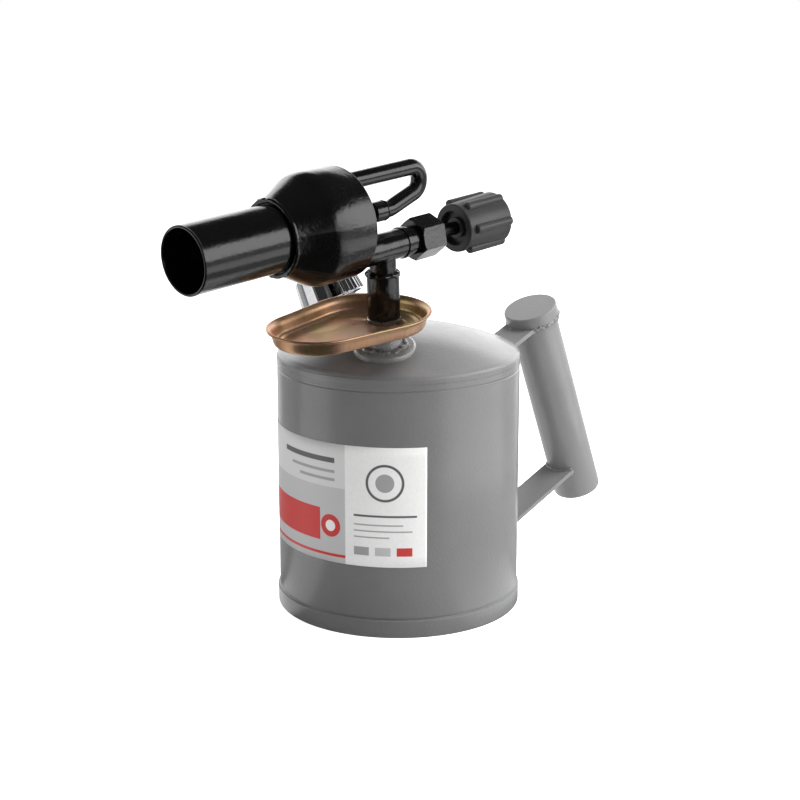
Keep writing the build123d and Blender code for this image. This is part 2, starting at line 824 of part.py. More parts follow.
# Vaporiser: along the bottom of the bell, round the flame, back over the top and down to the jet
low = valve_height
high = tube_top_height
ahead = -tube_loop_ahead
route = [
    (vaporiser_socket - valve_front, 0, low),
    (ahead, 0, low),
    (ahead, tube_loop_low_side, low + tube_loop_low_lift),
    (ahead, tube_loop_side, bell_height),
    (ahead, tube_loop_high_side, high - tube_loop_high_drop),
    (ahead, 0, high),
    (tube_turn_behind, 0, high),
    (tube_turn_behind, 0, tube_turn_height),
    (tube_jet_knee, 0, bell_height),
    (tube_end, 0, bell_height),
]
bends = [tube_loop_bend] * 5 + [tube_turn_bend] * 2 + [tube_jet_bend]
with BuildPart() as vaporiser_tube:
    with BuildLine() as tube_route:
        FilletPolyline(*[riser_frame.from_local_coords(place) for place in route], radius=bends)
    with BuildSketch(Plane(origin=tube_route.wire() @ 0, z_dir=tube_route.wire() % 0)):
        Circle(tube_radius)
        Circle(tube_bore, mode=Mode.SUBTRACT)
    sweep()
vaporiser_tube.part.label = "vaporiser_tube"
export_step(vaporiser_tube.part, "parts/vaporiser_tube.step")

# Jet and its holder on the burner's axis
with BuildPart() as jet_holder:
    with BuildSketch(burner_axis.offset(jet_holder_rear)):
        Circle(jet_holder_radius)
    extrude(amount=-jet_holder_length)
    chamfer(jet_holder.edges().filter_by(is_round), jet_holder_chamfer)
    with BuildSketch(burner_axis):
        Circle(jet_stem_radius)
    extrude(amount=-jet_stem_end)
    with BuildSketch(burner_axis.offset(jet_holder_rear)):
        Circle(tube_radius + seat_gap)
    extrude(amount=tube_end - jet_holder_rear, mode=Mode.SUBTRACT)
    with BuildSketch(burner_axis.offset(jet_holder_rear)):
        Circle(jet_passage)
    extrude(amount=-jet_holder_rear - jet_stem_end, mode=Mode.SUBTRACT)
    with BuildSketch(burner_axis.offset(-jet_stem_end)):
        Circle(jet_spigot_radius + seat_gap)
    extrude(amount=jet_spigot, mode=Mode.SUBTRACT)
jet_holder.part.label = "jet_holder"
export_step(jet_holder.part, "parts/jet_holder.step")

with BuildPart() as jet_nozzle:
    with BuildSketch(burner_axis.offset(-jet_stem_end)):
        RegularPolygon(jet_nozzle_flats / 2, 6, major_radius=False)
    extrude(amount=-jet_nozzle_length)
    with BuildSketch(burner_axis.offset(-jet_stem_end - jet_nozzle_length)):
        Circle(jet_tip_radius)
    extrude(amount=-jet_tip_length)
    chamfer(jet_nozzle.faces().sort_by(burner_line)[0].edges(), edge_break)
    with BuildSketch(burner_axis.offset(-jet_stem_end)):
        Circle(jet_spigot_radius)
    extrude(amount=jet_spigot)
    with BuildSketch(burner_axis.offset(jet_spigot - jet_stem_end)):
        Circle(jet_passage)
    extrude(amount=-jet_spigot - jet_nozzle_length, mode=Mode.SUBTRACT)
    with BuildSketch(burner_axis.offset(-jet_stem_end)):
        Circle(jet_hole)
    extrude(amount=-jet_nozzle_length - jet_tip_length, mode=Mode.SUBTRACT)
jet_nozzle.part.label = "jet_nozzle"
export_step(jet_nozzle.part, "parts/jet_nozzle.step")

# Pump. Its barrel hangs in the tank and is clamped on the boss through a gasket.
flange_foot = pump_boss_height + gasket_sheet
head_foot = flange_foot + pump_flange
head_top = head_foot + head_height
barrel_bore = pump_barrel_radius - pump_barrel_wall
pump_floor = check_plug_depth - pump_barrel_depth

with BuildPart() as pump_gasket:
    with BuildSketch(pump_frame.offset(pump_boss_height)):
        Circle(pump_flange_radius - gasket_inset)
        Circle(pump_barrel_radius + seat_gap, mode=Mode.SUBTRACT)
    extrude(amount=gasket_sheet)
pump_gasket.part.label = "pump_gasket"
export_step(pump_gasket.part, "parts/pump_gasket.step")

with BuildPart() as pump_barrel:
    with BuildSketch(pump_frame.offset(flange_foot)):
        Circle(pump_flange_radius)
    extrude(amount=pump_flange)
    chamfer(pump_barrel.edges().filter_by(is_round), edge_break)
    with BuildSketch(pump_frame.offset(-pump_barrel_depth)):
        Circle(pump_barrel_radius)
    extrude(amount=flange_foot + pump_barrel_depth)
    with BuildSketch(pump_frame.offset(-pump_barrel_depth)):
        Circle(barrel_bore)
    extrude(amount=head_foot + pump_barrel_depth, mode=Mode.SUBTRACT)
pump_barrel.part.label = "pump_barrel"
export_step(pump_barrel.part, "parts/pump_barrel.step")

with BuildPart() as pump_head_nut:
    with BuildSketch(pump_frame.offset(head_foot)):
        RegularPolygon(head_flats / 2, 6, major_radius=False)
    extrude(amount=head_height)
    chamfer(pump_head_nut.faces().sort_by(pump_line)[-1].edges(), head_chamfer)
    with BuildSketch(pump_frame.offset(head_foot)):
        Circle(barrel_bore - seat_gap)
    extrude(amount=-head_spigot)
    with BuildSketch(pump_frame.offset(head_foot - head_spigot)):
        Circle(rod_radius + running)
    extrude(amount=head_spigot + head_height, mode=Mode.SUBTRACT)
pump_head_nut.part.label = "pump_head_nut"
export_step(pump_head_nut.part, "parts/pump_head_nut.step")

# Plunger: the knob and rod with the piston, its leather and nut at the foot
piston_nut_foot = pump_floor + piston_floor_gap
leather_foot = piston_nut_foot + piston_nut_height
piston_foot = leather_foot + leather
knob_ceiling = head_top + pump_knob_gap
rod_top = knob_ceiling + rod_knob_reach
pump_knob_foot = knob_ceiling - pump_knob_lap

with BuildPart() as pump_rod:
    with BuildSketch(pump_frame.offset(piston_nut_foot)):
        Circle(rod_radius)
    extrude(amount=rod_top - piston_nut_foot)
    chamfer(pump_rod.edges().filter_by(is_round), edge_break)
pump_rod.part.label = "pump_rod"
export_step(pump_rod.part, "parts/pump_rod.step")

rib_turns = [
    radians(half + (index - (pump_rib_count - 1) / 2) * pump_rib_step)
    for half in (-90, 90)
    for index in range(pump_rib_count)
]
rib_ends = (
    (pump_knob_foot_radius - pump_rib_radius / 2, pump_knob_foot + edge_break),
    (pump_knob_top_radius - pump_rib_radius / 2, pump_knob_foot + pump_knob_height - pump_knob_round),
)
with BuildPart() as pump_knob:
    with BuildSketch(pump_frame.offset(pump_knob_foot)):
        Circle(pump_knob_foot_radius)
    with BuildSketch(pump_frame.offset(pump_knob_foot + pump_knob_height)):
        Circle(pump_knob_top_radius)
    loft()
    rims = pump_knob.edges().filter_by(is_round).sort_by(pump_line)
    fillet(rims[-1], pump_knob_round)
    for turn in rib_turns:
        rib_foot, rib_head = (
            pump_frame.from_local_coords((reach * cos(turn), reach * sin(turn), rise))
            for reach, rise in rib_ends
        )
        with BuildSketch(Plane(origin=rib_foot, z_dir=rib_head - rib_foot)):
            Circle(pump_rib_radius)
        extrude(amount=(rib_head - rib_foot).length)
    with BuildSketch(pump_frame.offset(pump_knob_foot)):
        Circle(pump_knob_foot_radius - pump_knob_skirt)
    extrude(amount=pump_knob_lap, mode=Mode.SUBTRACT)
    with BuildSketch(pump_frame.offset(pump_knob_foot)):
        Circle(rod_radius + seat_gap)
    extrude(amount=rod_top - pump_knob_foot, mode=Mode.SUBTRACT)
pump_knob.part.label = "pump_knob"
export_step(pump_knob.part, "parts/pump_knob.step")

with BuildPart() as pump_piston:
    with BuildSketch(pump_frame.offset(piston_foot)):
        Circle(piston_radius)
        Circle(rod_radius + seat_gap, mode=Mode.SUBTRACT)
    extrude(amount=piston_disc)
pump_piston.part.label = "pump_piston"
export_step(pump_piston.part, "parts/pump_piston.step")

with BuildPart() as cup_leather:
    with BuildSketch(pump_frame.offset(piston_foot)):
        Circle(barrel_bore - running)
    extrude(amount=-leather_lip)
    with BuildSketch(pump_frame.offset(leather_foot)):
        Circle(barrel_bore - running - leather)
    extrude(amount=-leather_lip, mode=Mode.SUBTRACT)
    with BuildSketch(pump_frame.offset(piston_foot)):
        Circle(rod_radius + seat_gap)
    extrude(amount=-leather_lip, mode=Mode.SUBTRACT)
cup_leather.part.label = "cup_leather"
export_step(cup_leather.part, "parts/cup_leather.step")

with BuildPart() as piston_nut:
    with BuildSketch(pump_frame.offset(piston_nut_foot)):
        RegularPolygon(piston_nut_flats / 2, 6, major_radius=False)
        Circle(rod_radius + seat_gap, mode=Mode.SUBTRACT)
    extrude(amount=piston_nut_height)
piston_nut.part.label = "piston_nut"
export_step(piston_nut.part, "parts/piston_nut.step")

# Non-return valve, screwed into the barrel's lower end
check_seat = pump_floor - check_seat_depth
check_flange_foot = -pump_barrel_depth - check_flange
check_end = check_flange_foot - check_nipple_length
cage_top = check_end + check_cage

with BuildPart() as check_valve_body:
    with BuildSketch(pump_frame.offset(pump_floor)):
        Circle(barrel_bore - seat_gap)
    extrude(amount=-check_plug_depth)
    with BuildSketch(pump_frame.offset(-pump_barrel_depth)):
        Circle(pump_barrel_radius)
    extrude(amount=-check_flange)
    with BuildSketch(pump_frame.offset(check_flange_foot)):
        Circle(check_nipple_radius)
    extrude(amount=-check_nipple_length)
    with BuildSketch(pump_frame.offset(pump_floor)):
        Circle(check_passage)
    extrude(amount=-check_seat_depth, mode=Mode.SUBTRACT)
    with BuildSketch(pump_frame.offset(check_seat)):
        Circle(check_chamber_radius)
    extrude(amount=check_end - check_seat, mode=Mode.SUBTRACT)
check_valve_body.part.label = "check_valve_body"
export_step(check_valve_body.part, "parts/check_valve_body.step")

with BuildPart() as check_valve_disc:
    with BuildSketch(pump_frame.offset(check_seat)):
        Circle(check_disc_radius)
    extrude(amount=-check_disc_height)
check_valve_disc.part.label = "check_valve_disc"
export_step(check_valve_disc.part, "parts/check_valve_disc.step")

with BuildPart() as check_valve_plug:
    with BuildSketch(pump_frame.offset(check_end)):
        Circle(check_chamber_radius - seat_gap)
        Circle(check_cage_hole, mode=Mode.SUBTRACT)
    extrude(amount=check_cage)
check_valve_plug.part.label = "check_valve_plug"
export_step(check_valve_plug.part, "parts/check_valve_plug.step")

spring_foot = cage_top + check_spring_wire + seat_gap
spring_top = check_seat - check_disc_height - check_spring_wire - seat_gap
spring_rise = spring_top - spring_foot
with BuildPart() as check_valve_spring:
    with BuildLine() as coil:
        Helix(
            spring_rise / check_spring_turns,
            spring_rise,
            check_spring_radius,
            center=pump_frame.offset(spring_foot).origin,
            direction=pump_frame.z_dir,
        )
    with BuildSketch(Plane(origin=coil.wire() @ 0, z_dir=coil.wire() % 0)):
        Circle(check_spring_wire)
    sweep(is_frenet=True)
check_valve_spring.part.label = "check_valve_spring"
export_step(check_valve_spring.part, "parts/check_valve_spring.step")
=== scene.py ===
# %% [markdown]
# # A petrol blowlamp
# The lamp is a painted tin tank with a black enamelled burner on top, a small spirit tray under the
# burner, a hand pump behind it and a tubular grip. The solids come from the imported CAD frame, in
# metres, with +Z up and the burner pointing along -X. This notebook dresses them: it adds what a press,
# a welder and a spray gun leave behind, and gives every surface its finish.

# %% Load the frame
import json
from math import asin, atan2, cos, degrees, pi, radians, sin, sqrt, tan

import bmesh
import bpy
from mathutils import Matrix, Vector, noise


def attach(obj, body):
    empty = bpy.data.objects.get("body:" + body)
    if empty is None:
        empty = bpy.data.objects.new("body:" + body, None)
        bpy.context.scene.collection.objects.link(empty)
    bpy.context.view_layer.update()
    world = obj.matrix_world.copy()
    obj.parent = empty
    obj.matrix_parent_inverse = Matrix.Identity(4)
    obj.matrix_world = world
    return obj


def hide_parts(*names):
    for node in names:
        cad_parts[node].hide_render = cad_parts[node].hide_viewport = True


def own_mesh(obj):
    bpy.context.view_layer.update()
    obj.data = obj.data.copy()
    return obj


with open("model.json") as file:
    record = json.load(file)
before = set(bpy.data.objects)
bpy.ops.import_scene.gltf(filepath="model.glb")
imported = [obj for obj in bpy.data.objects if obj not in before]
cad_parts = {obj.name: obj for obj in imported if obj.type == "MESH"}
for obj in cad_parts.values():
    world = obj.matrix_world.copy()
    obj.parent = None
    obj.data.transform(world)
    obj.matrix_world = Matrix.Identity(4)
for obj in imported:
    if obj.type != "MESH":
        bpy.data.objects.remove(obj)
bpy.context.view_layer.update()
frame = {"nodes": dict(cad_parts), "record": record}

MM = 0.001

# %% [markdown]
# ## Camera
# The photograph was taken with a long lens from the burner's side, a little above the tank. A long lens
# keeps the tank's sides nearly parallel. The camera looks at the tank's axis, so its heading follows
# from where it stands, and only the pitch and the focal length are free.

# %% Camera
camera_place = Vector((-0.5497, -0.5633, 0.2908))
camera_pitch = radians(-14.05)
axis_offset = radians(0.052)
camera_data = bpy.data.cameras.new("Camera")
camera_data.sensor_width = 36
camera_data.lens = 80.1
camera_data.clip_start = 0.05
camera = bpy.data.objects.new("Camera", camera_data)
heading = atan2(camera_place.x, -camera_place.y) - axis_offset
camera.location = camera_place
camera.rotation_euler = (pi / 2 + camera_pitch, 0, heading)
bpy.context.scene.collection.objects.link(camera)
bpy.context.scene.camera = camera
bpy.context.scene.view_settings.view_transform = "Standard"
print("camera heading", round(degrees(heading), 2))

# %% [markdown]
# ## Node helpers
# A material is a small program. Building it with a helper that takes the inputs in one call keeps each
# material readable as a recipe: every line is one node, and a node can be handed straight to the next.

# %% Node helpers
def add_node(tree, kind, inputs=None, **settings):
    """One node, with its settings, and its inputs given as values or as other nodes' outputs."""
    made = tree.nodes.new(kind)
    for name, value in settings.items():
        setattr(made, name, value)
    for key, value in (inputs or {}).items():
        if isinstance(value, bpy.types.NodeSocket):
            tree.links.new(value, made.inputs[key])
        else:
            made.inputs[key].default_value = value
    return made


def add_ramp(tree, factor, stops):
    """A colour ramp, from a list of (position, grey or colour)."""
    ramp = add_node(tree, "ShaderNodeValToRGB", {"Fac": factor})
    elements = ramp.color_ramp.elements
    while len(elements) < len(stops):
        elements.new(0.5)
    for element, (position, colour) in zip(elements, stops):
        element.position = position
        grey = isinstance(colour, (int, float))
        element.color = (colour, colour, colour, 1) if grey else (*colour, 1)
    return ramp.outputs["Color"]


def new_group(name, inputs, outputs):
    """An empty node group with named sockets, and its input and output nodes."""
    tree = bpy.data.node_groups.new(name, "ShaderNodeTree")
    for socket, (kind, value) in inputs.items():
        made = tree.interface.new_socket(socket, in_out="INPUT", socket_type=kind)
        if value is not None:
            made.default_value = value
    for socket, kind in outputs.items():
        tree.interface.new_socket(socket, in_out="OUTPUT", socket_type=kind)
    return tree, tree.nodes.new("NodeGroupInput"), tree.nodes.new("NodeGroupOutput")


def use_group(tree, group, inputs):
    """A node group placed in a material."""
    made = tree.nodes.new("ShaderNodeGroup")
    made.node_tree = group
    for key, value in inputs.items():
        if isinstance(value, bpy.types.NodeSocket):
            tree.links.new(value, made.inputs[key])
        else:
            made.inputs[key].default_value = value
    return made


def new_material(name, **constants):
    """A material with its principled shader and the object coordinates that its patterns use."""
    material = bpy.data.materials.new(name)
    material.use_nodes = True
    tree = material.node_tree
    shader = tree.nodes["Principled BSDF"]
    for key, value in constants.items():
        shader.inputs[key.replace("_", " ")].default_value = value
    place = add_node(tree, "ShaderNodeTexCoord").outputs["Object"]
    return material, tree, shader, place


FLOAT, VECTOR = "NodeSocketFloat", "NodeSocketVector"
# A colour mix node's two inputs and its output, by their place in the node.
MIX_UNDER, MIX_OVER, MIX_RESULT = 6, 7, 2

# %% [markdown]
# ## Shared effects
# Three effects turn up on nearly every painted or metal surface of the lamp. Sprayed paint never dries
# flat: it keeps a fine orange peel over a slower wave. Handled paint picks up smudges and hairline
# scratches. Sheet and turned metal keeps the streaks of the tool. Each is a group with its own sockets,
# so that each material can set how strong and how large the effect is.

# %% Shared effects
def fractal(tree, vector, scale, detail=2.0, roughness=0.5):
    """Noise of a size given in waves to the metre."""
    values = {"Vector": vector, "Scale": scale, "Detail": detail, "Roughness": roughness}
    return add_node(tree, "ShaderNodeTexNoise", values).outputs["Fac"]


def math(tree, operation, first, second=0.5, clamp=False):
    """One step of arithmetic."""
    values = {0: first, 1: second}
    made = add_node(tree, "ShaderNodeMath", values, operation=operation, use_clamp=clamp)
    return made.outputs["Value"]


def spread(tree, factor, low, high):
    """A factor of 0 to 1 spread over another range."""
    values = {"Value": factor, "To Min": low, "To Max": high}
    return add_node(tree, "ShaderNodeMapRange", values).outputs["Result"]


sprayed_skin, given, made = new_group(
    "Sprayed skin",
    {
        "Place": (VECTOR, None),
        "Peel size": (FLOAT, 900.0),
        "Wave size": (FLOAT, 60.0),
        "Wave share": (FLOAT, 0.5),
    },
    {"Height": FLOAT, "Cloud": FLOAT},
)
peel = fractal(sprayed_skin, given.outputs["Place"], given.outputs["Peel size"], 1.5)
wave = fractal(sprayed_skin, given.outputs["Place"], given.outputs["Wave size"], 0.0)
wave_part = math(sprayed_skin, "MULTIPLY", wave, given.outputs["Wave share"])
sprayed_skin.links.new(math(sprayed_skin, "ADD", peel, wave_part), made.inputs["Height"])
cloud = fractal(sprayed_skin, given.outputs["Place"], 26.0, 4.0, 0.6)
sprayed_skin.links.new(cloud, made.inputs["Cloud"])

handling, given, made = new_group(
    "Handling marks",
    {"Place": (VECTOR, None), "Smudge size": (FLOAT, 45.0), "Scratch size": (FLOAT, 90.0)},
    {"Smudge": FLOAT, "Scratch": FLOAT},
)
smear = fractal(handling, given.outputs["Place"], given.outputs["Smudge size"], 5.0, 0.65)
handling.links.new(add_ramp(handling, smear, [(0.42, 0.0), (0.68, 1.0)]), made.inputs["Smudge"])
stretched = add_node(
    handling,
    "ShaderNodeMapping",
    {"Vector": given.outputs["Place"], "Rotation": (0.5, 0.9, 0.3), "Scale": (1.0, 14.0, 9.0)},
)
hairline = fractal(handling, stretched.outputs["Vector"], given.outputs["Scratch size"], 2.0)
handling.links.new(add_ramp(handling, hairline, [(0.68, 0.0), (0.74, 1.0)]), made.inputs["Scratch"])

tool_streaks, given, made = new_group(
    "Tool streaks",
    {"Place": (VECTOR, None), "Stretch": (VECTOR, (1.0, 1.0, 1.0)), "Size": (FLOAT, 300.0)},
    {"Streak": FLOAT},
)
pulled = add_node(
    tool_streaks, "ShaderNodeMapping", {"Vector": given.outputs["Place"], "Scale": given.outputs["Stretch"]}
)
streak = fractal(tool_streaks, pulled.outputs["Vector"], given.outputs["Size"], 3.0, 0.6)
tool_streaks.links.new(streak, made.inputs["Streak"])
print("effects", [group.name for group in bpy.data.node_groups])

# %% [markdown]
# ## Grey paint
# The tank, its bushes and the grip are sprayed in a mid grey with a satin gloss. The colour hardly
# changes, but the skin does: orange peel breaks up the reflections, and the gloss is duller where hands
# and dust have been. A thin clear coat gives the sharp rim light that the tank's sides show.

# %% Grey paint
def bumped(tree, shader, height, strength, distance, after=None):
    """Feeds a height to the shader's normal, over another bump if one is given."""
    values = {"Height": height, "Strength": strength, "Distance": distance}
    if after is not None:
        values["Normal"] = after
    bump = add_node(tree, "ShaderNodeBump", values)
    tree.links.new(bump.outputs["Normal"], shader.inputs["Normal"])
    return bump.outputs["Normal"]


def crimp_marks(tree, place):
    """Fine upright ripples round the tank's foot, where a roller folded the rim over."""
    level = add_node(tree, "ShaderNodeSeparateXYZ", {"Vector": place}).outputs["Z"]
    ramp_height = 20.0 * MM
    stops = [(0.16, 0.0), (0.26, 1.0), (0.44, 1.0), (0.56, 0.0)]
    foot = add_ramp(tree, math(tree, "MULTIPLY", level, 1 / ramp_height), stops)
    ripple = use_group(tree, tool_streaks, {"Place": place, "Stretch": (1.0, 1.0, 0.03), "Size": 520.0})
    depth = 1.6
    return math(tree, "MULTIPLY", math(tree, "MULTIPLY", ripple.outputs["Streak"], foot), depth)


def grey_paint(name, colour, peel_strength, peel_size=800.0, coat=0.55, dullness=0.30):
    """Sprayed grey paint over tin plate."""
    material, tree, shader, place = new_material(name, Coat_Weight=coat, Coat_Roughness=0.07)
    waves = {"Wave size": 60.0, "Wave share": 1.4}
    skin = use_group(tree, sprayed_skin, {"Place": place, "Peel size": peel_size, **waves})
    marks = use_group(tree, handling, {"Place": place})
    darker = tuple(0.93 * part for part in colour)
    lighter = tuple(1.05 * part for part in colour)
    tone = add_ramp(tree, skin.outputs["Cloud"], [(0.3, darker), (0.7, lighter)])
    tree.links.new(tone, shader.inputs["Base Color"])
    dull = spread(tree, marks.outputs["Smudge"], dullness, dullness + 0.10)
    scratched = math(tree, "MULTIPLY", marks.outputs["Scratch"], 0.08)
    tree.links.new(math(tree, "ADD", dull, scratched), shader.inputs["Roughness"])
    height = math(tree, "ADD", skin.outputs["Height"], crimp_marks(tree, place))
    bumped(tree, shader, height, peel_strength, 0.0002)
    return material


tank_paint = grey_paint("Tank paint", (0.155, 0.155, 0.157), 0.5)
# The grip wears the tank's grey. This copy is painted lighter, to stand in for the light that falls on the
# grip and its straps.
grip_paint_painted_lighter = grey_paint("Grip paint", (0.190, 0.190, 0.192), 0.5)
weld_paint = grey_paint("Weld paint", (0.19, 0.19, 0.192), 1.6, 1500.0, 1.0, 0.14)

# %% [markdown]
# ## Black enamel
# The burner is dipped or sprayed in a thick gloss black that runs before it sets. It has almost no
# colour of its own. What shows is the room in its surface, bent by runs and waves, so the bump matters
# more than the base colour.

# %% Black enamel
def black_enamel(name, wave_strength, gloss, wave_size=95.0, wave_share=2.2):
    """Thick gloss black with slow waves and runs."""
    material, tree, shader, place = new_material(name, Coat_Weight=0.6, Coat_Roughness=0.08)
    waves = {"Wave size": wave_size, "Wave share": wave_share}
    skin = use_group(tree, sprayed_skin, {"Place": place, "Peel size": 620.0, **waves})
    marks = use_group(tree, handling, {"Place": place, "Smudge size": 70.0})
    black, near_black = (0.001, 0.001, 0.0011), (0.003, 0.0029, 0.0029)
    tone = add_ramp(tree, skin.outputs["Cloud"], [(0.3, black), (0.75, near_black)])
    tree.links.new(tone, shader.inputs["Base Color"])
    tree.links.new(spread(tree, marks.outputs["Smudge"], gloss, gloss + 0.1), shader.inputs["Roughness"])
    bumped(tree, shader, skin.outputs["Height"], wave_strength, 0.0003)
    return material


burner_enamel = black_enamel("Burner enamel", 0.3, 0.16)
bell_enamel = black_enamel("Bell enamel", 0.5, 0.19, 52.0, 24.0)
valve_enamel = black_enamel("Valve enamel", 0.5, 0.14, 130.0, 9.0)

# %% [markdown]
# ## Passivated tray
# The tray is pressed from steel, plated, and passivated in a bath that leaves a thin gold film. Where
# the film is thicker it turns pink and green. Drawing the wall over the die leaves streaks up it.

# %% Passivated tray
tray_finish, tree, shader, place = new_material("Tray finish", Metallic=0.95)
film = fractal(tree, place, 38.0, 3.0, 0.55)
gold = add_ramp(
    tree,
    film,
    [
        (0.30, (0.50, 0.27, 0.14)),
        (0.43, (0.72, 0.44, 0.25)),
        (0.52, (0.64, 0.38, 0.26)),
        (0.60, (0.58, 0.44, 0.20)),
        (0.72, (0.70, 0.43, 0.29)),
    ],
)
drawn = use_group(tree, tool_streaks, {"Place": place, "Stretch": (1.0, 1.0, 0.06), "Size": 900.0})
shade = spread(tree, drawn.outputs["Streak"], 0.78, 1.18)
tinted = add_node(
    tree, "ShaderNodeMix", {"Factor": 1.0, MIX_UNDER: gold}, data_type="RGBA", blend_type="MULTIPLY"
)
grey_shade = add_node(tree, "ShaderNodeCombineColor", {"Red": shade, "Green": shade, "Blue": shade})
tree.links.new(grey_shade.outputs["Color"], tinted.inputs[MIX_OVER])
tree.links.new(tinted.outputs[MIX_RESULT], shader.inputs["Base Color"])
tree.links.new(spread(tree, drawn.outputs["Streak"], 0.26, 0.42), shader.inputs["Roughness"])
bumped(tree, shader, drawn.outputs["Streak"], 0.15, 0.0002)

# %% [markdown]
# ## Bright metals
# Chrome, brass and plain turned steel share one recipe: a metal whose streaks run round the turned
# axis. They differ in colour, in how bright the streaks are and in how polished they are.

# %% Bright metals
def turned_metal(name, colour, rough_low, rough_high, streak_strength):
    """A turned metal with fine tool streaks."""
    material, tree, shader, place = new_material(name, Metallic=1.0)
    streaks = use_group(tree, tool_streaks, {"Place": place, "Stretch": (0.2, 0.2, 3.0), "Size": 1500.0})
    marks = use_group(tree, handling, {"Place": place, "Smudge size": 160.0})
    dark = tuple(0.85 * part for part in colour)
    tone = add_ramp(tree, streaks.outputs["Streak"], [(0.35, dark), (0.65, colour)])
    tree.links.new(tone, shader.inputs["Base Color"])
    tree.links.new(spread(tree, marks.outputs["Smudge"], rough_low, rough_high), shader.inputs["Roughness"])
    bumped(tree, shader, streaks.outputs["Streak"], streak_strength, 0.0001)
    return material


chrome = turned_metal("Chrome", (0.82, 0.82, 0.84), 0.05, 0.12, 0.02)
brass = turned_metal("Brass", (0.72, 0.50, 0.22), 0.22, 0.36, 0.1)
steel = turned_metal("Turned steel", (0.50, 0.50, 0.51), 0.24, 0.38, 0.1)
black_steel = turned_metal("Blackened steel", (0.06, 0.06, 0.065), 0.3, 0.45, 0.1)

# %% [markdown]
# ## Plastics and soft parts
# The valve knob is moulded in dark plastic from a spark-eroded mould, which leaves an even fine grain.
# Rubber, leather, wick and packing are inside or barely show, but each still has its own grain.

# %% Plastics and soft parts
def grained(name, low, high, rough, grain_size, strength, detail=3.0):
    """A dull material with an even grain."""
    material, tree, shader, place = new_material(name)
    grain = fractal(tree, place, grain_size, detail, 0.6)
    blotch = fractal(tree, place, 40.0, 3.0)
    tree.links.new(add_ramp(tree, blotch, [(0.3, low), (0.7, high)]), shader.inputs["Base Color"])
    tree.links.new(spread(tree, grain, rough - 0.06, rough + 0.08), shader.inputs["Roughness"])
    bumped(tree, shader, grain, strength, 0.0002)
    return material


knob_plastic = grained("Knob plastic", (0.018, 0.018, 0.0185), (0.030, 0.030, 0.031), 0.36, 2600.0, 0.2)
rubber = grained("Rubber", (0.02, 0.02, 0.02), (0.035, 0.035, 0.033), 0.6, 1500.0, 0.3)
leather = grained("Greased leather", (0.15, 0.08, 0.04), (0.26, 0.15, 0.08), 0.55, 1200.0, 0.6)
wick = grained("Cotton wick", (0.55, 0.52, 0.44), (0.7, 0.67, 0.58), 0.85, 700.0, 0.8)
packing = grained("Graphite packing", (0.03, 0.03, 0.03), (0.06, 0.06, 0.06), 0.5, 900.0, 0.8)

# %% [markdown]
# ## Dressing the nodes
# The record names a material slot for every node, and every slot has its finish. A few nodes then get a
# finish of their own, where the photograph shows them apart from the rest of their slot.

# %% Dress the nodes
finishes = {
    "grey_paint": tank_paint,
    "black_enamel": burner_enamel,
    "passivated_steel": tray_finish,
    "plain_steel": steel,
    "dark_steel": black_steel,
    "brass": brass,
    "chrome": chrome,
    "knob_plastic": knob_plastic,
    "rubber": rubber,
    "graphite_packing": packing,
    "cotton_wick": wick,
    "leather": leather,
}
for part in frame["record"]["subparts"]:
    node = frame["nodes"][part["node"]]
    node.data.materials.clear()
    node.data.materials.append(finishes[part["material_slot"]])
own_finishes = {
    bell_enamel: ("burner_bell",),
    valve_enamel: ("valve_body", "riser_pipe"),
    grip_paint_painted_lighter: ("handle_tube", "handle_plug", "handle_cap", "lower_strap", "upper_strap"),
    steel: ("tray_lock_ring",),
    weld_paint: ("riser_boss",),
    chrome: ("pump_barrel", "pump_head_nut"),
}
for finish, names in own_finishes.items():
    for name in names:
        frame["nodes"][name].data.materials[0] = finish

# %% [markdown]
# ## Places
# The pieces below sit on the solids, so they start from the same few sizes: the tank's radius and dome,
# the foot of the riser with its two leans, the pump and the grip. Each place is a matrix whose Z runs
# along the piece's own axis, so a weld or a ring can be written in the piece's own terms.

# %% Places
tank_radius = 55.0 * MM
wall_top = 115.0 * MM
dome_top = 129.2 * MM
crown_rise = 11.6 * MM
crown_radius = (tank_radius**2 + crown_rise**2) / (2 * crown_rise)


def crown_height(x, y):
    """Height of the dome's crown above a point of the floor."""
    return dome_top - crown_radius + sqrt(max(crown_radius**2 - x**2 - y**2, 0.0))


def axis_place(foot, along, up):
    """A matrix at a foot, with Z along an axis and X as near as it can be to another direction."""
    z = Vector(along).normalized()
    x = (Vector(up) - z * z.dot(Vector(up))).normalized()
    turned = Matrix((x, z.cross(x), z)).transposed()
    return Matrix.Translation(foot) @ turned.to_4x4()


lean, side_lean = radians(5.0), radians(3.5)
riser_xy = Vector((-26.8, -19.0)) * MM
riser_foot = Vector((*riser_xy, crown_height(*riser_xy)))
nose_way = Vector((-cos(lean), 0, -sin(lean)))
riser_up = Vector((-sin(lean) * cos(side_lean), -sin(side_lean), cos(lean) * cos(side_lean)))
riser_place = axis_place(riser_foot, riser_up, -nose_way)

pump_xy = Vector((-8.0, 27.0)) * MM
pump_lean = radians(28.0)
pump_out = pump_xy.normalized()
pump_up = Vector((*(pump_out * sin(pump_lean)), cos(pump_lean)))
pump_place = axis_place(Vector((*pump_xy, crown_height(*pump_xy))), pump_up, (*pump_out, 0))

grip_lean = radians(21.5)
grip_up = Vector((-sin(grip_lean), 0, cos(grip_lean)))
grip_place = axis_place(Vector((127.6, 0, 27.2)) * MM, grip_up, (1, 0, 0))
print("riser foot", [round(part / MM, 1) for part in riser_foot])

# %% [markdown]
# ## Making pieces
# Most of what is added is either a line that follows a path, such as a weld or a bent wire, or a thin
# sheet. A path is drawn as a curve with a round section and made a mesh at once. A weld is the same
# line with lumps: every point moves out along its own normal by a noise whose waves are as long as one
# drop of filler metal.

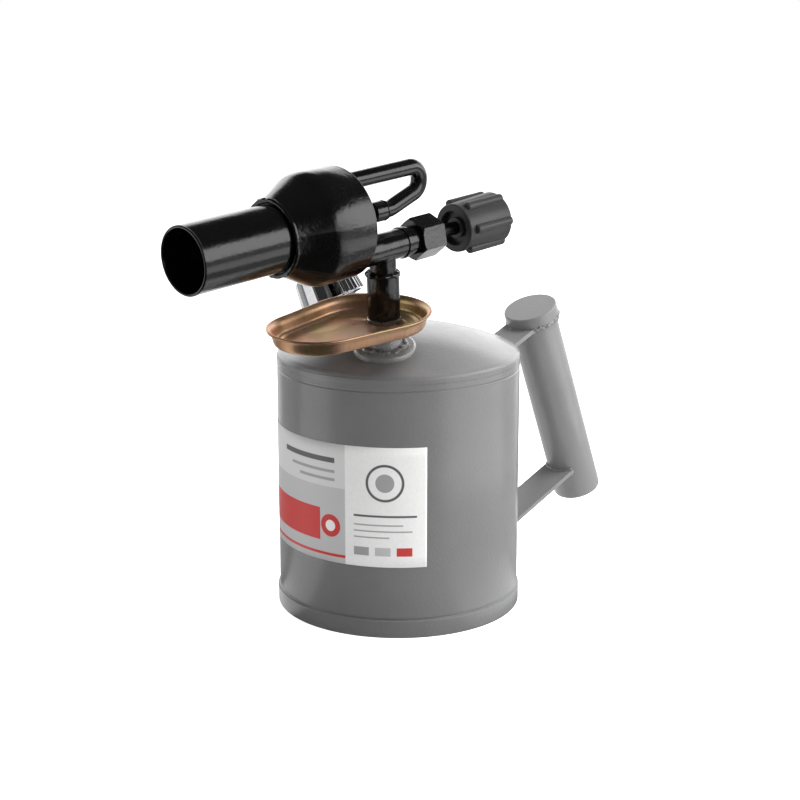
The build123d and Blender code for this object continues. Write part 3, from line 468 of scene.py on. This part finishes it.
# %% Making pieces
def add_piece(name, mesh, material, body="lamp", smooth=True):
    """A finished piece that rides on a body."""
    mesh.materials.clear()
    mesh.materials.append(material)
    for face in mesh.polygons:
        face.use_smooth = smooth
    piece = bpy.data.objects.new(name, mesh)
    bpy.context.scene.collection.objects.link(piece)
    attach(piece, body)
    return piece


def line_mesh(name, points, thickness, closed, sides=12):
    """A round bar along a path, as a mesh."""
    curve = bpy.data.curves.new(name, "CURVE")
    curve.dimensions = "3D"
    curve.bevel_depth = thickness
    curve.bevel_resolution = sides // 4
    curve.use_fill_caps = True
    spline = curve.splines.new("POLY")
    spline.points.add(len(points) - 1)
    for point, place in zip(spline.points, points):
        point.co = (*place, 1)
    spline.use_cyclic_u = closed
    holder = bpy.data.objects.new(name, curve)
    mesh = bpy.data.meshes.new_from_object(holder)
    bpy.data.objects.remove(holder)
    bpy.data.curves.remove(curve)
    return mesh


broad_drop, fine_drop = 2.2 * MM, 1.3 * MM


def weld(name, points, thickness, lump, closed, material, drop=broad_drop):
    """A weld run, which is a bar along a path with lumps as long as its drops."""
    mesh = line_mesh(name, points, thickness, closed)
    shape = bmesh.new()
    shape.from_mesh(mesh)
    bmesh.ops.remove_doubles(shape, verts=shape.verts, dist=0.01 * MM)
    bmesh.ops.recalc_face_normals(shape, faces=shape.faces)
    shape.normal_update()
    finer, aside = 2.3, Vector((7, 3, 5))
    for point in shape.verts:
        place = point.co / drop
        swell = noise.noise(place) + 0.5 * noise.noise(place * finer + aside)
        point.co += point.normal * thickness * lump * swell
    shape.to_mesh(mesh)
    shape.free()
    return add_piece(name, mesh, material)


def ring(place, radius, height, count=120, wander=0.0):
    """Points of a ring round a place's axis, which may wander in and out a little."""
    points = []
    for step in range(count):
        turn = 2 * pi * step / count
        reach = radius + wander * noise.noise(Vector((cos(turn) * 1.7, sin(turn) * 1.7, height / MM)))
        points.append(place @ Vector((reach * cos(turn), reach * sin(turn), height)))
    return points


def draped(points, lift):
    """The same points, let down onto the dome."""
    return [Vector((point.x, point.y, crown_height(point.x, point.y) + lift)) for point in points]


# %% [markdown]
# ## Welds
# Every joint of this cheap and cheerful tin shows its weld or braze: a broad lumpy run round each bush
# on the dome, runs along both ends of the two straps and under the grip's cap, and enamelled fillets
# where the riser meets the valve, the valve meets the bell and the tube meets the jet. Paint rounds them
# off but doesn't hide them.

# %% Welds
def dome_weld(name, place, radius, wander, lift, thickness, lump, paint, drop=broad_drop):
    """A weld run round a bush, let down onto the dome."""
    path = draped(ring(place, radius, 0, wander=wander), lift)
    weld(name, path, thickness, lump, True, paint, drop)


dome_weld(
    "riser_weld_outer", riser_place, 11.9 * MM, 0.8 * MM, 0.4 * MM, 1.0 * MM, 0.5, weld_paint, fine_drop
)
dome_weld(
    "riser_weld_inner", riser_place, 9.2 * MM, 0.7 * MM, 1.5 * MM, 1.4 * MM, 0.5, weld_paint, fine_drop
)
dome_weld("pump_weld_run", pump_place, 16.4 * MM, 1.0 * MM, 0.5 * MM, 1.2 * MM, 0.35, tank_paint)

cap_reach, cap_rise = 12.3 * MM, 98.6 * MM
cap_path = ring(grip_place, cap_reach, cap_rise, 240, wander=0.5 * MM)
weld("cap_weld", cap_path, 1.0 * MM, 0.9, True, grip_paint_painted_lighter, 1.2 * MM)

strap_half = 8.2 * MM
strap_sheet = 2.0 * MM
strap_rises = {"lower": 14.2 * MM, "upper": 97.3 * MM}
strap_steps = 24
grip_radius = 11.7 * MM


def strap_end_on_grip(rise, side):
    """A line across a strap where it meets the grip, on its lower or upper face."""
    points = []
    for step in range(strap_steps + 1):
        across = strap_half * (2 * step / strap_steps - 1)
        reach = -sqrt(grip_radius**2 - across**2)
        points.append(grip_place @ Vector((reach, across, rise + side * strap_sheet)))
    return points


def strap_end_on_tank(rise, side):
    """A line across a strap where it meets the tank."""
    points = []
    for step in range(strap_steps + 1):
        across = strap_half * (2 * step / strap_steps - 1)
        x = sqrt(tank_radius**2 - across**2)
        base = grip_place @ Vector((0, 0, rise + side * strap_sheet))
        points.append(Vector((x, across, base.z - (base.x - x) * tan(grip_lean))))
    return points


for name, rise in strap_rises.items():
    for side, word in ((0, "under"), (1, "over")):
        grip_end, tank_end = strap_end_on_grip(rise, side), strap_end_on_tank(rise, side)
        weld(f"{name}_strap_grip_weld_{word}", grip_end, 0.9 * MM, 0.55, False, grip_paint_painted_lighter)
        weld(f"{name}_strap_tank_weld_{word}", tank_end, 1.0 * MM, 0.55, False, tank_paint)

burner_rise = 61.1 * MM
burner_place = axis_place(riser_place @ Vector((0, 0, burner_rise)), -nose_way, riser_up)
neck_path = ring(riser_place, 6.3 * MM, 33.6 * MM, wander=0.4 * MM)
jet_path = ring(burner_place, 3.9 * MM, 0.7 * MM, 60)
bell_path = ring(burner_place, 15.3 * MM, -60.9 * MM, wander=0.3 * MM)
weld("riser_neck_weld", neck_path, 1.2 * MM, 0.55, True, valve_enamel)
weld("jet_braze", jet_path, 0.6 * MM, 0.5, True, valve_enamel, 1.6 * MM)
weld("bell_neck_weld", bell_path, 1.1 * MM, 0.4, True, bell_enamel)

# %% [markdown]
# ## Filled joint
# The dome's lip butts on the wall, and the joint is filled and rubbed down before the paint goes on, so
# that only a soft swelling is left of it. The swelling is a shallow lens in section, spun once round the
# tank, and its edges dip just under the paint.

# %% Filled joint
def lathe(name, profile, material, steps=180):
    """A closed profile of (radius, height) points, spun round the tank's axis."""
    mesh = bpy.data.meshes.new(name)
    shape = bmesh.new()
    points = [shape.verts.new((radius, 0, height)) for radius, height in profile]
    loop = [shape.edges.new(pair) for pair in zip(points, points[1:] + points[:1])]
    bmesh.ops.spin(
        shape, geom=points + loop, axis=(0, 0, 1), cent=(0, 0, 0), angle=2 * pi, steps=steps, use_merge=True
    )
    bmesh.ops.remove_doubles(shape, verts=shape.verts, dist=0.001 * MM)
    bmesh.ops.recalc_face_normals(shape, faces=shape.faces)
    shape.to_mesh(mesh)
    shape.free()
    return add_piece(name, mesh, material)


joint_half, joint_swell = 1.3 * MM, 0.10 * MM
joint_dip, joint_back = 0.015 * MM, 0.35 * MM
lens_steps = 8
lens = []
for step in range(lens_steps + 1):
    share = 2 * step / lens_steps - 1
    radius = tank_radius - joint_dip + joint_swell * (1 - share**2)
    lens.append((radius, wall_top + joint_half * share))
lens.append((tank_radius - joint_back, wall_top))
lathe("filled_joint", lens, tank_paint)
print("filled joint", round(2 * joint_half / MM, 1), "mm wide")

# %% [markdown]
# ## Rims
# The mouth of the barrel and the rear of the bell are cut from sheet, and their edges are dressed round
# with a file before they are enamelled. A thin round bead along each edge catches the light as one
# bright line, which tells the eye how thin the metal is.

# %% Rims
mouth_ahead, bell_rear_ahead = 105.4 * MM, 25.1 * MM
for name, radius, ahead, thickness, finish in (
    ("mouth_rim", 13.5 * MM, mouth_ahead, 0.62 * MM, burner_enamel),
    ("bell_rim", 22.8 * MM, bell_rear_ahead, 0.66 * MM, bell_enamel),
):
    rim = line_mesh(name, ring(burner_place, radius, -ahead), thickness, True)
    add_piece(name, rim, finish)
mouth = burner_place @ Vector((0, 0, -mouth_ahead))
print("mouth", [round(part / MM, 1) for part in mouth])

# %% [markdown]
# ## Spirit tray
# The tray is one pressing. Its floor carries a raised bead just inside the wall, the wall flares out in
# a hollow curve, and the edge is turned down into a thin lip that catches the light. The solid has the
# same outline and depth with a plainer section, so a finer pressing takes its place here. It starts as
# the lip's outline, two arcs joined by straight lines, and each further line of the section is that
# outline extruded and drawn in. The last line is the round hole that the riser's bush comes through.
# The section is given in millimetres: inward from the lip's edge, and up from tray_floor_height.

# %% Spirit tray
tray_floor_height = 11.5 * MM
tray_gauge = 0.6 * MM
heel_radius, toe_radius = 26.9 * MM, 22.2 * MM
heel_ahead, tray_span = 8.7 * MM, 29.0 * MM
lip = ((0.25, 6.4), (0.0, 6.8), (0.08, 7.25), (0.42, 7.5), (1.0, 7.4))
flare = ((1.7, 6.95), (2.3, 6.2), (2.75, 5.3), (2.95, 4.3))
foot = ((3.2, 2.5), (3.4, 1.75), (3.8, 1.15), (4.3, 0.9))
bead = ((4.7, 1.2), (5.1, 1.8), (5.5, 2.1), (5.9, 1.95), (6.3, 1.35), (6.9, 0.82))
floor_inset, floor_rise = 9.6, 0.72
tray_section = (*lip, *flare, *foot, *bead, (floor_inset, floor_rise))
tray_hole_radius = 7.2 * MM
arc_steps = 72


def tray_line(inset, height):
    """Points of the tray's outline drawn in by an inset."""
    heel, toe = heel_radius - inset, toe_radius - inset
    turn = asin((heel - toe) / tray_span)
    arcs = (
        (-heel_ahead, heel, pi / 2 + turn, -pi / 2 - turn),
        (-heel_ahead - tray_span, toe, -pi / 2 - turn, -3 * pi / 2 + turn),
    )
    points = []
    for centre, radius, first, last in arcs:
        for step in range(arc_steps + 1):
            angle = first + (last - first) * step / arc_steps
            points.append(riser_place @ Vector((centre + radius * cos(angle), radius * sin(angle), height)))
    return points


def tray_hole():
    """Points of the round hole, each on the way from the riser's axis to a point of the outline."""
    height = tray_floor_height + floor_rise * MM
    points = []
    for point in tray_line(floor_inset * MM, 0):
        flat = riser_place.inverted() @ point
        angle = atan2(flat.y, flat.x)
        place = Vector((tray_hole_radius * cos(angle), tray_hole_radius * sin(angle), height))
        points.append(riser_place @ place)
    return points


shape = bmesh.new()
lines = [tray_line(inset * MM, tray_floor_height + rise * MM) for inset, rise in tray_section]
lines.append(tray_hole())
points = [shape.verts.new(place) for place in lines[0]]
edges = [shape.edges.new(pair) for pair in zip(points, points[1:] + points[:1])]
for line in lines[1:]:
    grown = bmesh.ops.extrude_edge_only(shape, edges=edges)["geom"]
    drawn_in = [item for item in grown if isinstance(item, bmesh.types.BMVert)]
    new_edges = [item for item in grown if isinstance(item, bmesh.types.BMEdge)]
    edges = [edge for edge in new_edges if all(end in drawn_in for end in edge.verts)]
    after = {}
    for point in drawn_in:
        before = next(other for edge in point.link_edges for other in edge.verts if other in points)
        after[before] = point
    points = [after[before] for before in points]
    for point, place in zip(points, line):
        point.co = place
bmesh.ops.recalc_face_normals(shape, faces=shape.faces)
shape.normal_update()
widest = max(shape.faces, key=lambda face: face.calc_area())
if widest.normal.dot(riser_up) < 0:
    bmesh.ops.reverse_faces(shape, faces=shape.faces)
bmesh.ops.solidify(shape, geom=shape.faces[:], thickness=tray_gauge)
tray_mesh = bpy.data.meshes.new("tray_pressing")
shape.to_mesh(tray_mesh)
shape.free()
tray = add_piece("tray_pressing", tray_mesh, tray_finish)
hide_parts("preheat_tray")
lowest = min(point.co.z for point in tray_mesh.vertices)
print("tray pressing", len(tray_mesh.polygons), "faces, lowest", round(lowest / MM, 1))

# %% [markdown]
# ## Pump knob
# The knob is turned steel with two knurled sectors for the fingers and two plain ones, chromed all over.
# It spins freely on its rod, and in the photograph it stands a quarter turn from where the solid has it.
# So a merged copy of the solid's own mesh is turned about the rod and takes the node's place.

# %% Pump knob
def merged_copy(node_name, mesh_name, turned=Matrix()):
    """A solid's own mesh, merged at its seams and turned by a matrix."""
    node = frame["nodes"][node_name]
    mesh = node.data.copy()
    mesh.name = mesh_name
    shape = bmesh.new()
    shape.from_mesh(mesh)
    bmesh.ops.remove_doubles(shape, verts=shape.verts, dist=0.001 * MM)
    bmesh.ops.transform(shape, matrix=turned @ node.matrix_world, verts=shape.verts)
    bmesh.ops.recalc_face_normals(shape, faces=shape.faces)
    shape.to_mesh(mesh)
    shape.free()
    return mesh


quarter = pump_place @ Matrix.Rotation(pi / 2, 4, "Z") @ pump_place.inverted()
knob_mesh = merged_copy("pump_knob", "pump_knob_turned", quarter)
pump_knob = add_piece("pump_knob_turned", knob_mesh, chrome, "plunger", smooth=False)
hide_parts("pump_knob")
print("pump knob", len(knob_mesh.polygons), "faces")

# %% [markdown]
# ## Check valve spring
# The spring stands under the check valve's disc and gives way when air lifts the disc off its seat. A
# merged copy of the solid takes its place, with a mesh of its own.

# %% Check valve spring
coil_mesh = merged_copy("check_valve_spring", "check_valve_coil")
coil = add_piece("check_valve_coil", coil_mesh, steel)
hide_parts("check_valve_spring")
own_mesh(coil)

# %% [markdown]
# ## Paper label
# A printed paper label is glued round the front of the tank. It is a thin sheet, made as a flat grid and
# rolled onto the tank, so its UV map stays a flat plan of the print, which is drawn in millimetres. The
# print is plain and generic: a white panel with a ring, grey rules and three blocks, and a grey panel
# with grey rules, a red block, a red ring and a red line. It has no letters, numbers or code.

# %% Paper label
label_start, label_turn = radians(-121.4), radians(-108.6)
label_low, label_high = 32.5 * MM, 86.4 * MM
label_width = abs(label_turn) * tank_radius / MM
label_height = (label_high - label_low) / MM
paper, paper_wave = 0.12 * MM, 0.05 * MM
label_mesh = bpy.data.meshes.new("paper_label")
label_mesh.uv_layers.new(name="Print")
shape = bmesh.new()
shape.from_mesh(label_mesh)
bmesh.ops.create_grid(shape, x_segments=120, y_segments=12, size=0.5, calc_uvs=True)
rolled = tank_radius + paper
for point in shape.verts:
    share, rise = point.co.x + 0.5, point.co.y + 0.5
    angle = label_start + label_turn * (1 - share)
    radius = rolled + paper_wave * noise.noise(Vector((share * 6, rise * 4, 0)))
    height = label_low + (label_high - label_low) * rise
    point.co = Vector((radius * cos(angle), radius * sin(angle), height))
bmesh.ops.recalc_face_normals(shape, faces=shape.faces)
shape.normal_update()
first_face = shape.faces[0]
if first_face.normal.dot(first_face.calc_center_median()) < 0:
    bmesh.ops.reverse_faces(shape, faces=shape.faces)
bmesh.ops.solidify(shape, geom=shape.faces[:], thickness=paper * 0.8)
shape.to_mesh(label_mesh)
shape.free()

label_paper, tree, shader, place = new_material("Label paper", Roughness=0.42)
flat = add_node(tree, "ShaderNodeUVMap", uv_map="Print").outputs["UV"]
plan = add_node(tree, "ShaderNodeSeparateXYZ", {"Vector": flat})
across = math(tree, "MULTIPLY", plan.outputs["X"], label_width)
upward = math(tree, "MULTIPLY", plan.outputs["Y"], label_height)


def band(value, low, high):
    """1 where a value is between two limits, with a soft printed edge."""
    rising = math(tree, "MULTIPLY", math(tree, "SUBTRACT", value, low), 6.0, True)
    falling = math(tree, "MULTIPLY", math(tree, "SUBTRACT", high, value), 6.0, True)
    return math(tree, "MULTIPLY", rising, falling)


def block(left, right, low, high):
    """A printed rectangle, in millimetres of the label."""
    return math(tree, "MULTIPLY", band(across, left, right), band(upward, low, high))


def disc(x, y, outer, inner=-1.0):
    """A printed disc or ring."""
    dx, dy = math(tree, "SUBTRACT", across, x), math(tree, "SUBTRACT", upward, y)
    squares = math(tree, "ADD", math(tree, "MULTIPLY", dx, dx), math(tree, "MULTIPLY", dy, dy))
    return band(math(tree, "SQRT", squares), inner, outer)


def printed(under, mask, ink):
    """A colour laid over another where a mask is 1."""
    values = {"Factor": mask, MIX_UNDER: under, MIX_OVER: (*ink, 1)}
    return add_node(tree, "ShaderNodeMix", values, data_type="RGBA").outputs[MIX_RESULT]


white, pale, red = (0.74, 0.74, 0.735), (0.44, 0.44, 0.445), (0.52, 0.03, 0.027)
dark_grey, mid_grey = (0.10, 0.10, 0.105), (0.30, 0.30, 0.305)
panel_edge = 68.1
grain = fractal(tree, place, 700.0, 3.0)
sheet = add_ramp(tree, grain, [(0.3, tuple(0.95 * part for part in white)), (0.7, white)])
sheet = printed(sheet, block(-1.0, panel_edge, -1.0, 60.0), pale)
fade = math(tree, "MULTIPLY", block(-1.0, panel_edge, 34.0, 60.0), 0.4)
sheet = printed(sheet, fade, white)
prints = [
    (block(-1.0, panel_edge, 2.5, 4.0), red),
    (block(-1.0, 55.0, 9.0, 24.0), red),
    (disc(60.5, 16.5, 5.2), red),
    (disc(60.5, 16.5, 2.6), white),
    (block(30.0, 63.0, 45.0, 47.5), dark_grey),
    (block(36.0, 63.0, 40.5, 42.0), mid_grey),
    (block(42.0, 63.0, 36.8, 38.3), mid_grey),
    (disc(86.0, 38.0, 8.5, 7.2), dark_grey),
    (disc(86.0, 38.0, 4.2), mid_grey),
    (block(72.0, 100.0, 22.5, 23.6), dark_grey),
    (block(72.0, 94.0, 18.6, 19.4), mid_grey),
    (block(72.0, 98.0, 15.8, 16.6), mid_grey),
    (block(72.0, 88.0, 13.0, 13.8), mid_grey),
    (block(72.0, 79.0, 5.0, 9.0), mid_grey),
    (block(81.5, 88.5, 5.0, 9.0), pale),
    (block(91.0, 98.0, 5.0, 9.0), red),
]
for mask, ink in prints:
    sheet = printed(sheet, mask, ink)
tree.links.new(sheet, shader.inputs["Base Color"])
bumped(tree, shader, grain, 0.05, 0.0001)
add_piece("paper_label", label_mesh, label_paper)
print("label", round(label_width, 1), "x", round(label_height, 1), "mm")

# %% [markdown]
# ## Studio
# The lamp stands on a white table in a white room, and the camera sees that white. What the gloss
# reflects is set apart from it, as a photographer does with black cards: a bright room behind, which
# draws the light rims, one bright window on the right, a narrow card on the left, and dark everywhere
# else. The table itself glows for gloss alone with a painted glare: a painted reflection of the
# window's light on the table, of the room behind and of the left card. Soft lamps on the right, high
# behind, on the left and overhead shape the tank and the dome, and a faint world light, stronger from
# above, keeps the shadows open.

# %% Studio
world = bpy.data.worlds.new("World")
bpy.context.scene.world = world
world.use_nodes = True
tree = world.node_tree
tree.nodes.clear()
behind_way, window_way, card_way = (0.70, 0.71, 0), (0.50, -0.866, 0), (-0.82, 0.57, 0)


def facing(direction_from, way, low, high):
    """1 where a direction runs nearly along a level way, fading to 0."""
    values = {0: direction_from, 1: Vector(way)}
    along = add_node(tree, "ShaderNodeVectorMath", values, operation="DOT_PRODUCT")
    return add_ramp(tree, along.outputs["Value"], [(low, 0.0), (high, 1.0)])


rays = add_node(tree, "ShaderNodeLightPath")
toward = add_node(tree, "ShaderNodeTexCoord").outputs["Generated"]
rise = add_node(tree, "ShaderNodeSeparateXYZ", {"Vector": toward}).outputs["Z"]
low_sky = add_ramp(tree, rise, [(0.42, 1.0), (0.6, 0.0)])
window_sky = add_ramp(tree, rise, [(0.46, 1.0), (0.54, 0.0)])
behind = math(tree, "MULTIPLY", facing(toward, behind_way, 0.3, 0.7), low_sky)
window = math(tree, "MULTIPLY", facing(toward, window_way, 0.68, 0.80), window_sky)
behind_glow, window_glow, card_glow, dark_glow = 1.6, 2.4, 1.1, 0.03
side_card = math(tree, "MULTIPLY", facing(toward, card_way, 0.9, 0.96), card_glow)
glare = math(tree, "MULTIPLY", window, window_glow)
glare = math(tree, "MAXIMUM", math(tree, "MULTIPLY", behind, behind_glow), glare)
glare = math(tree, "MAXIMUM", math(tree, "MAXIMUM", glare, side_card), dark_glow)
overhead_glow, faint_glow = 0.55, 0.17
overhead = math(tree, "MULTIPLY", math(tree, "MAXIMUM", rise, 0.0), overhead_glow)
overhead = math(tree, "ADD", overhead, faint_glow)
seen = add_node(tree, "ShaderNodeBackground", {"Color": (1, 1, 1, 1), "Strength": 1.0})
mirrored = add_node(tree, "ShaderNodeBackground", {"Color": (1, 1, 1, 1), "Strength": glare})
lighting = add_node(tree, "ShaderNodeBackground", {"Color": (1, 1, 1, 1), "Strength": overhead})
mirrors = math(tree, "ADD", rays.outputs["Is Glossy Ray"], rays.outputs["Is Transmission Ray"], True)


def either(tree, mask, first, second):
    """One shader where a mask is 0 and another where it is 1."""
    values = {0: mask, 1: first.outputs[0], 2: second.outputs[0]}
    return add_node(tree, "ShaderNodeMixShader", values)


unseen = either(tree, mirrors, lighting, mirrored)
whole = either(tree, rays.outputs["Is Camera Ray"], unseen, seen)
add_node(tree, "ShaderNodeOutputWorld", {"Surface": whole.outputs[0]})


def soft_lamp(name, place, aim, size, power):
    """A square soft lamp, turned towards a point, which gloss doesn't reflect."""
    data = bpy.data.lights.new(name, "AREA")
    data.size = size
    data.energy = power
    lamp = bpy.data.objects.new(name, data)
    lamp.location = place
    lamp.rotation_euler = (Vector(aim) - Vector(place)).to_track_quat("-Z", "Y").to_euler()
    lamp.visible_glossy = False
    bpy.context.scene.collection.objects.link(lamp)


low_aim, high_aim = (0, 0, 0.08), (0, 0, 0.1)
soft_lamp("Key lamp", (0.62, -0.90, 0.45), low_aim, 0.7, 10.5)
soft_lamp("Back lamp", (0.75, 0.15, 0.85), high_aim, 0.6, 14)
soft_lamp("Left lamp", (-0.60, 0.75, 0.40), low_aim, 0.6, 2.4)
soft_lamp("Top lamp", (0.20, -0.40, 1.10), high_aim, 0.6, 10)

floor_mesh = bpy.data.meshes.new("Floor")
shape = bmesh.new()
bmesh.ops.create_grid(shape, x_segments=1, y_segments=1, size=6.0)
shape.to_mesh(floor_mesh)
shape.free()
floor = bpy.data.objects.new("Floor", floor_mesh)
bpy.context.scene.collection.objects.link(floor)
floor_finish = bpy.data.materials.new("White table")
floor_finish.use_nodes = True
tree = floor_finish.node_tree
tree.nodes.clear()
rays = add_node(tree, "ShaderNodeLightPath")
table_place = add_node(tree, "ShaderNodeTexCoord").outputs["Object"]
speckle = fractal(tree, table_place, 3.0)
table_white = add_ramp(tree, speckle, [(0.3, 0.78), (0.7, 0.8)])
board = add_node(tree, "ShaderNodeBsdfDiffuse", {"Color": table_white})
table_glow = 0.84
glow = add_node(tree, "ShaderNodeEmission", {"Color": (1, 1, 1, 1), "Strength": table_glow})
lit = add_node(tree, "ShaderNodeAddShader", {0: board.outputs[0], 1: glow.outputs[0]})
way_out = add_node(tree, "ShaderNodeVectorMath", {0: table_place}, operation="NORMALIZE").outputs["Vector"]
reach = add_node(tree, "ShaderNodeVectorMath", {0: table_place}, operation="LENGTH").outputs["Value"]
# The painted glare's strength by the distance from the tank's middle, in metres.
painted_glare_fall_off = [
    (0.056, 0.0), (0.066, 0.8), (0.11, 0.6), (0.13, 0.25),
    (0.23, 0.25), (0.27, 1.0), (0.55, 1.0), (0.68, 0.35),
]
side_share, window_share, card_share = 0.4, 1.2, 0.9
painted_far_glare = facing(way_out, behind_way, 0.60, 0.82)
painted_side_glare = math(tree, "MULTIPLY", facing(way_out, behind_way, 0.1, 0.4), side_share)
painted_far_glare = math(tree, "MAXIMUM", painted_far_glare, painted_side_glare)
painted_window_glare = math(tree, "MULTIPLY", facing(way_out, window_way, 0.74, 0.90), add_ramp(tree, reach, painted_glare_fall_off))
painted_window_glare = math(tree, "MULTIPLY", painted_window_glare, window_share)
painted_card_glare = math(tree, "MULTIPLY", facing(way_out, card_way, 0.92, 0.97), card_share)
painted_table_glare = math(tree, "MAXIMUM", painted_far_glare, painted_window_glare)
painted_table_glare = math(tree, "MAXIMUM", painted_table_glare, math(tree, "MAXIMUM", painted_card_glare, dark_glow))
# Seen only by gloss, the table glows here: this emission is painted glare, a painted reflection of the
# window, the room behind and the left card.
painted_glare = add_node(tree, "ShaderNodeEmission", {"Color": (1, 1, 1, 1), "Strength": painted_table_glare})
unmirrored = either(tree, rays.outputs["Is Camera Ray"], board, lit)
whole = either(tree, rays.outputs["Is Glossy Ray"], unmirrored, painted_glare)
add_node(tree, "ShaderNodeOutputMaterial", {"Surface": whole.outputs[0]})
floor_mesh.materials.append(floor_finish)
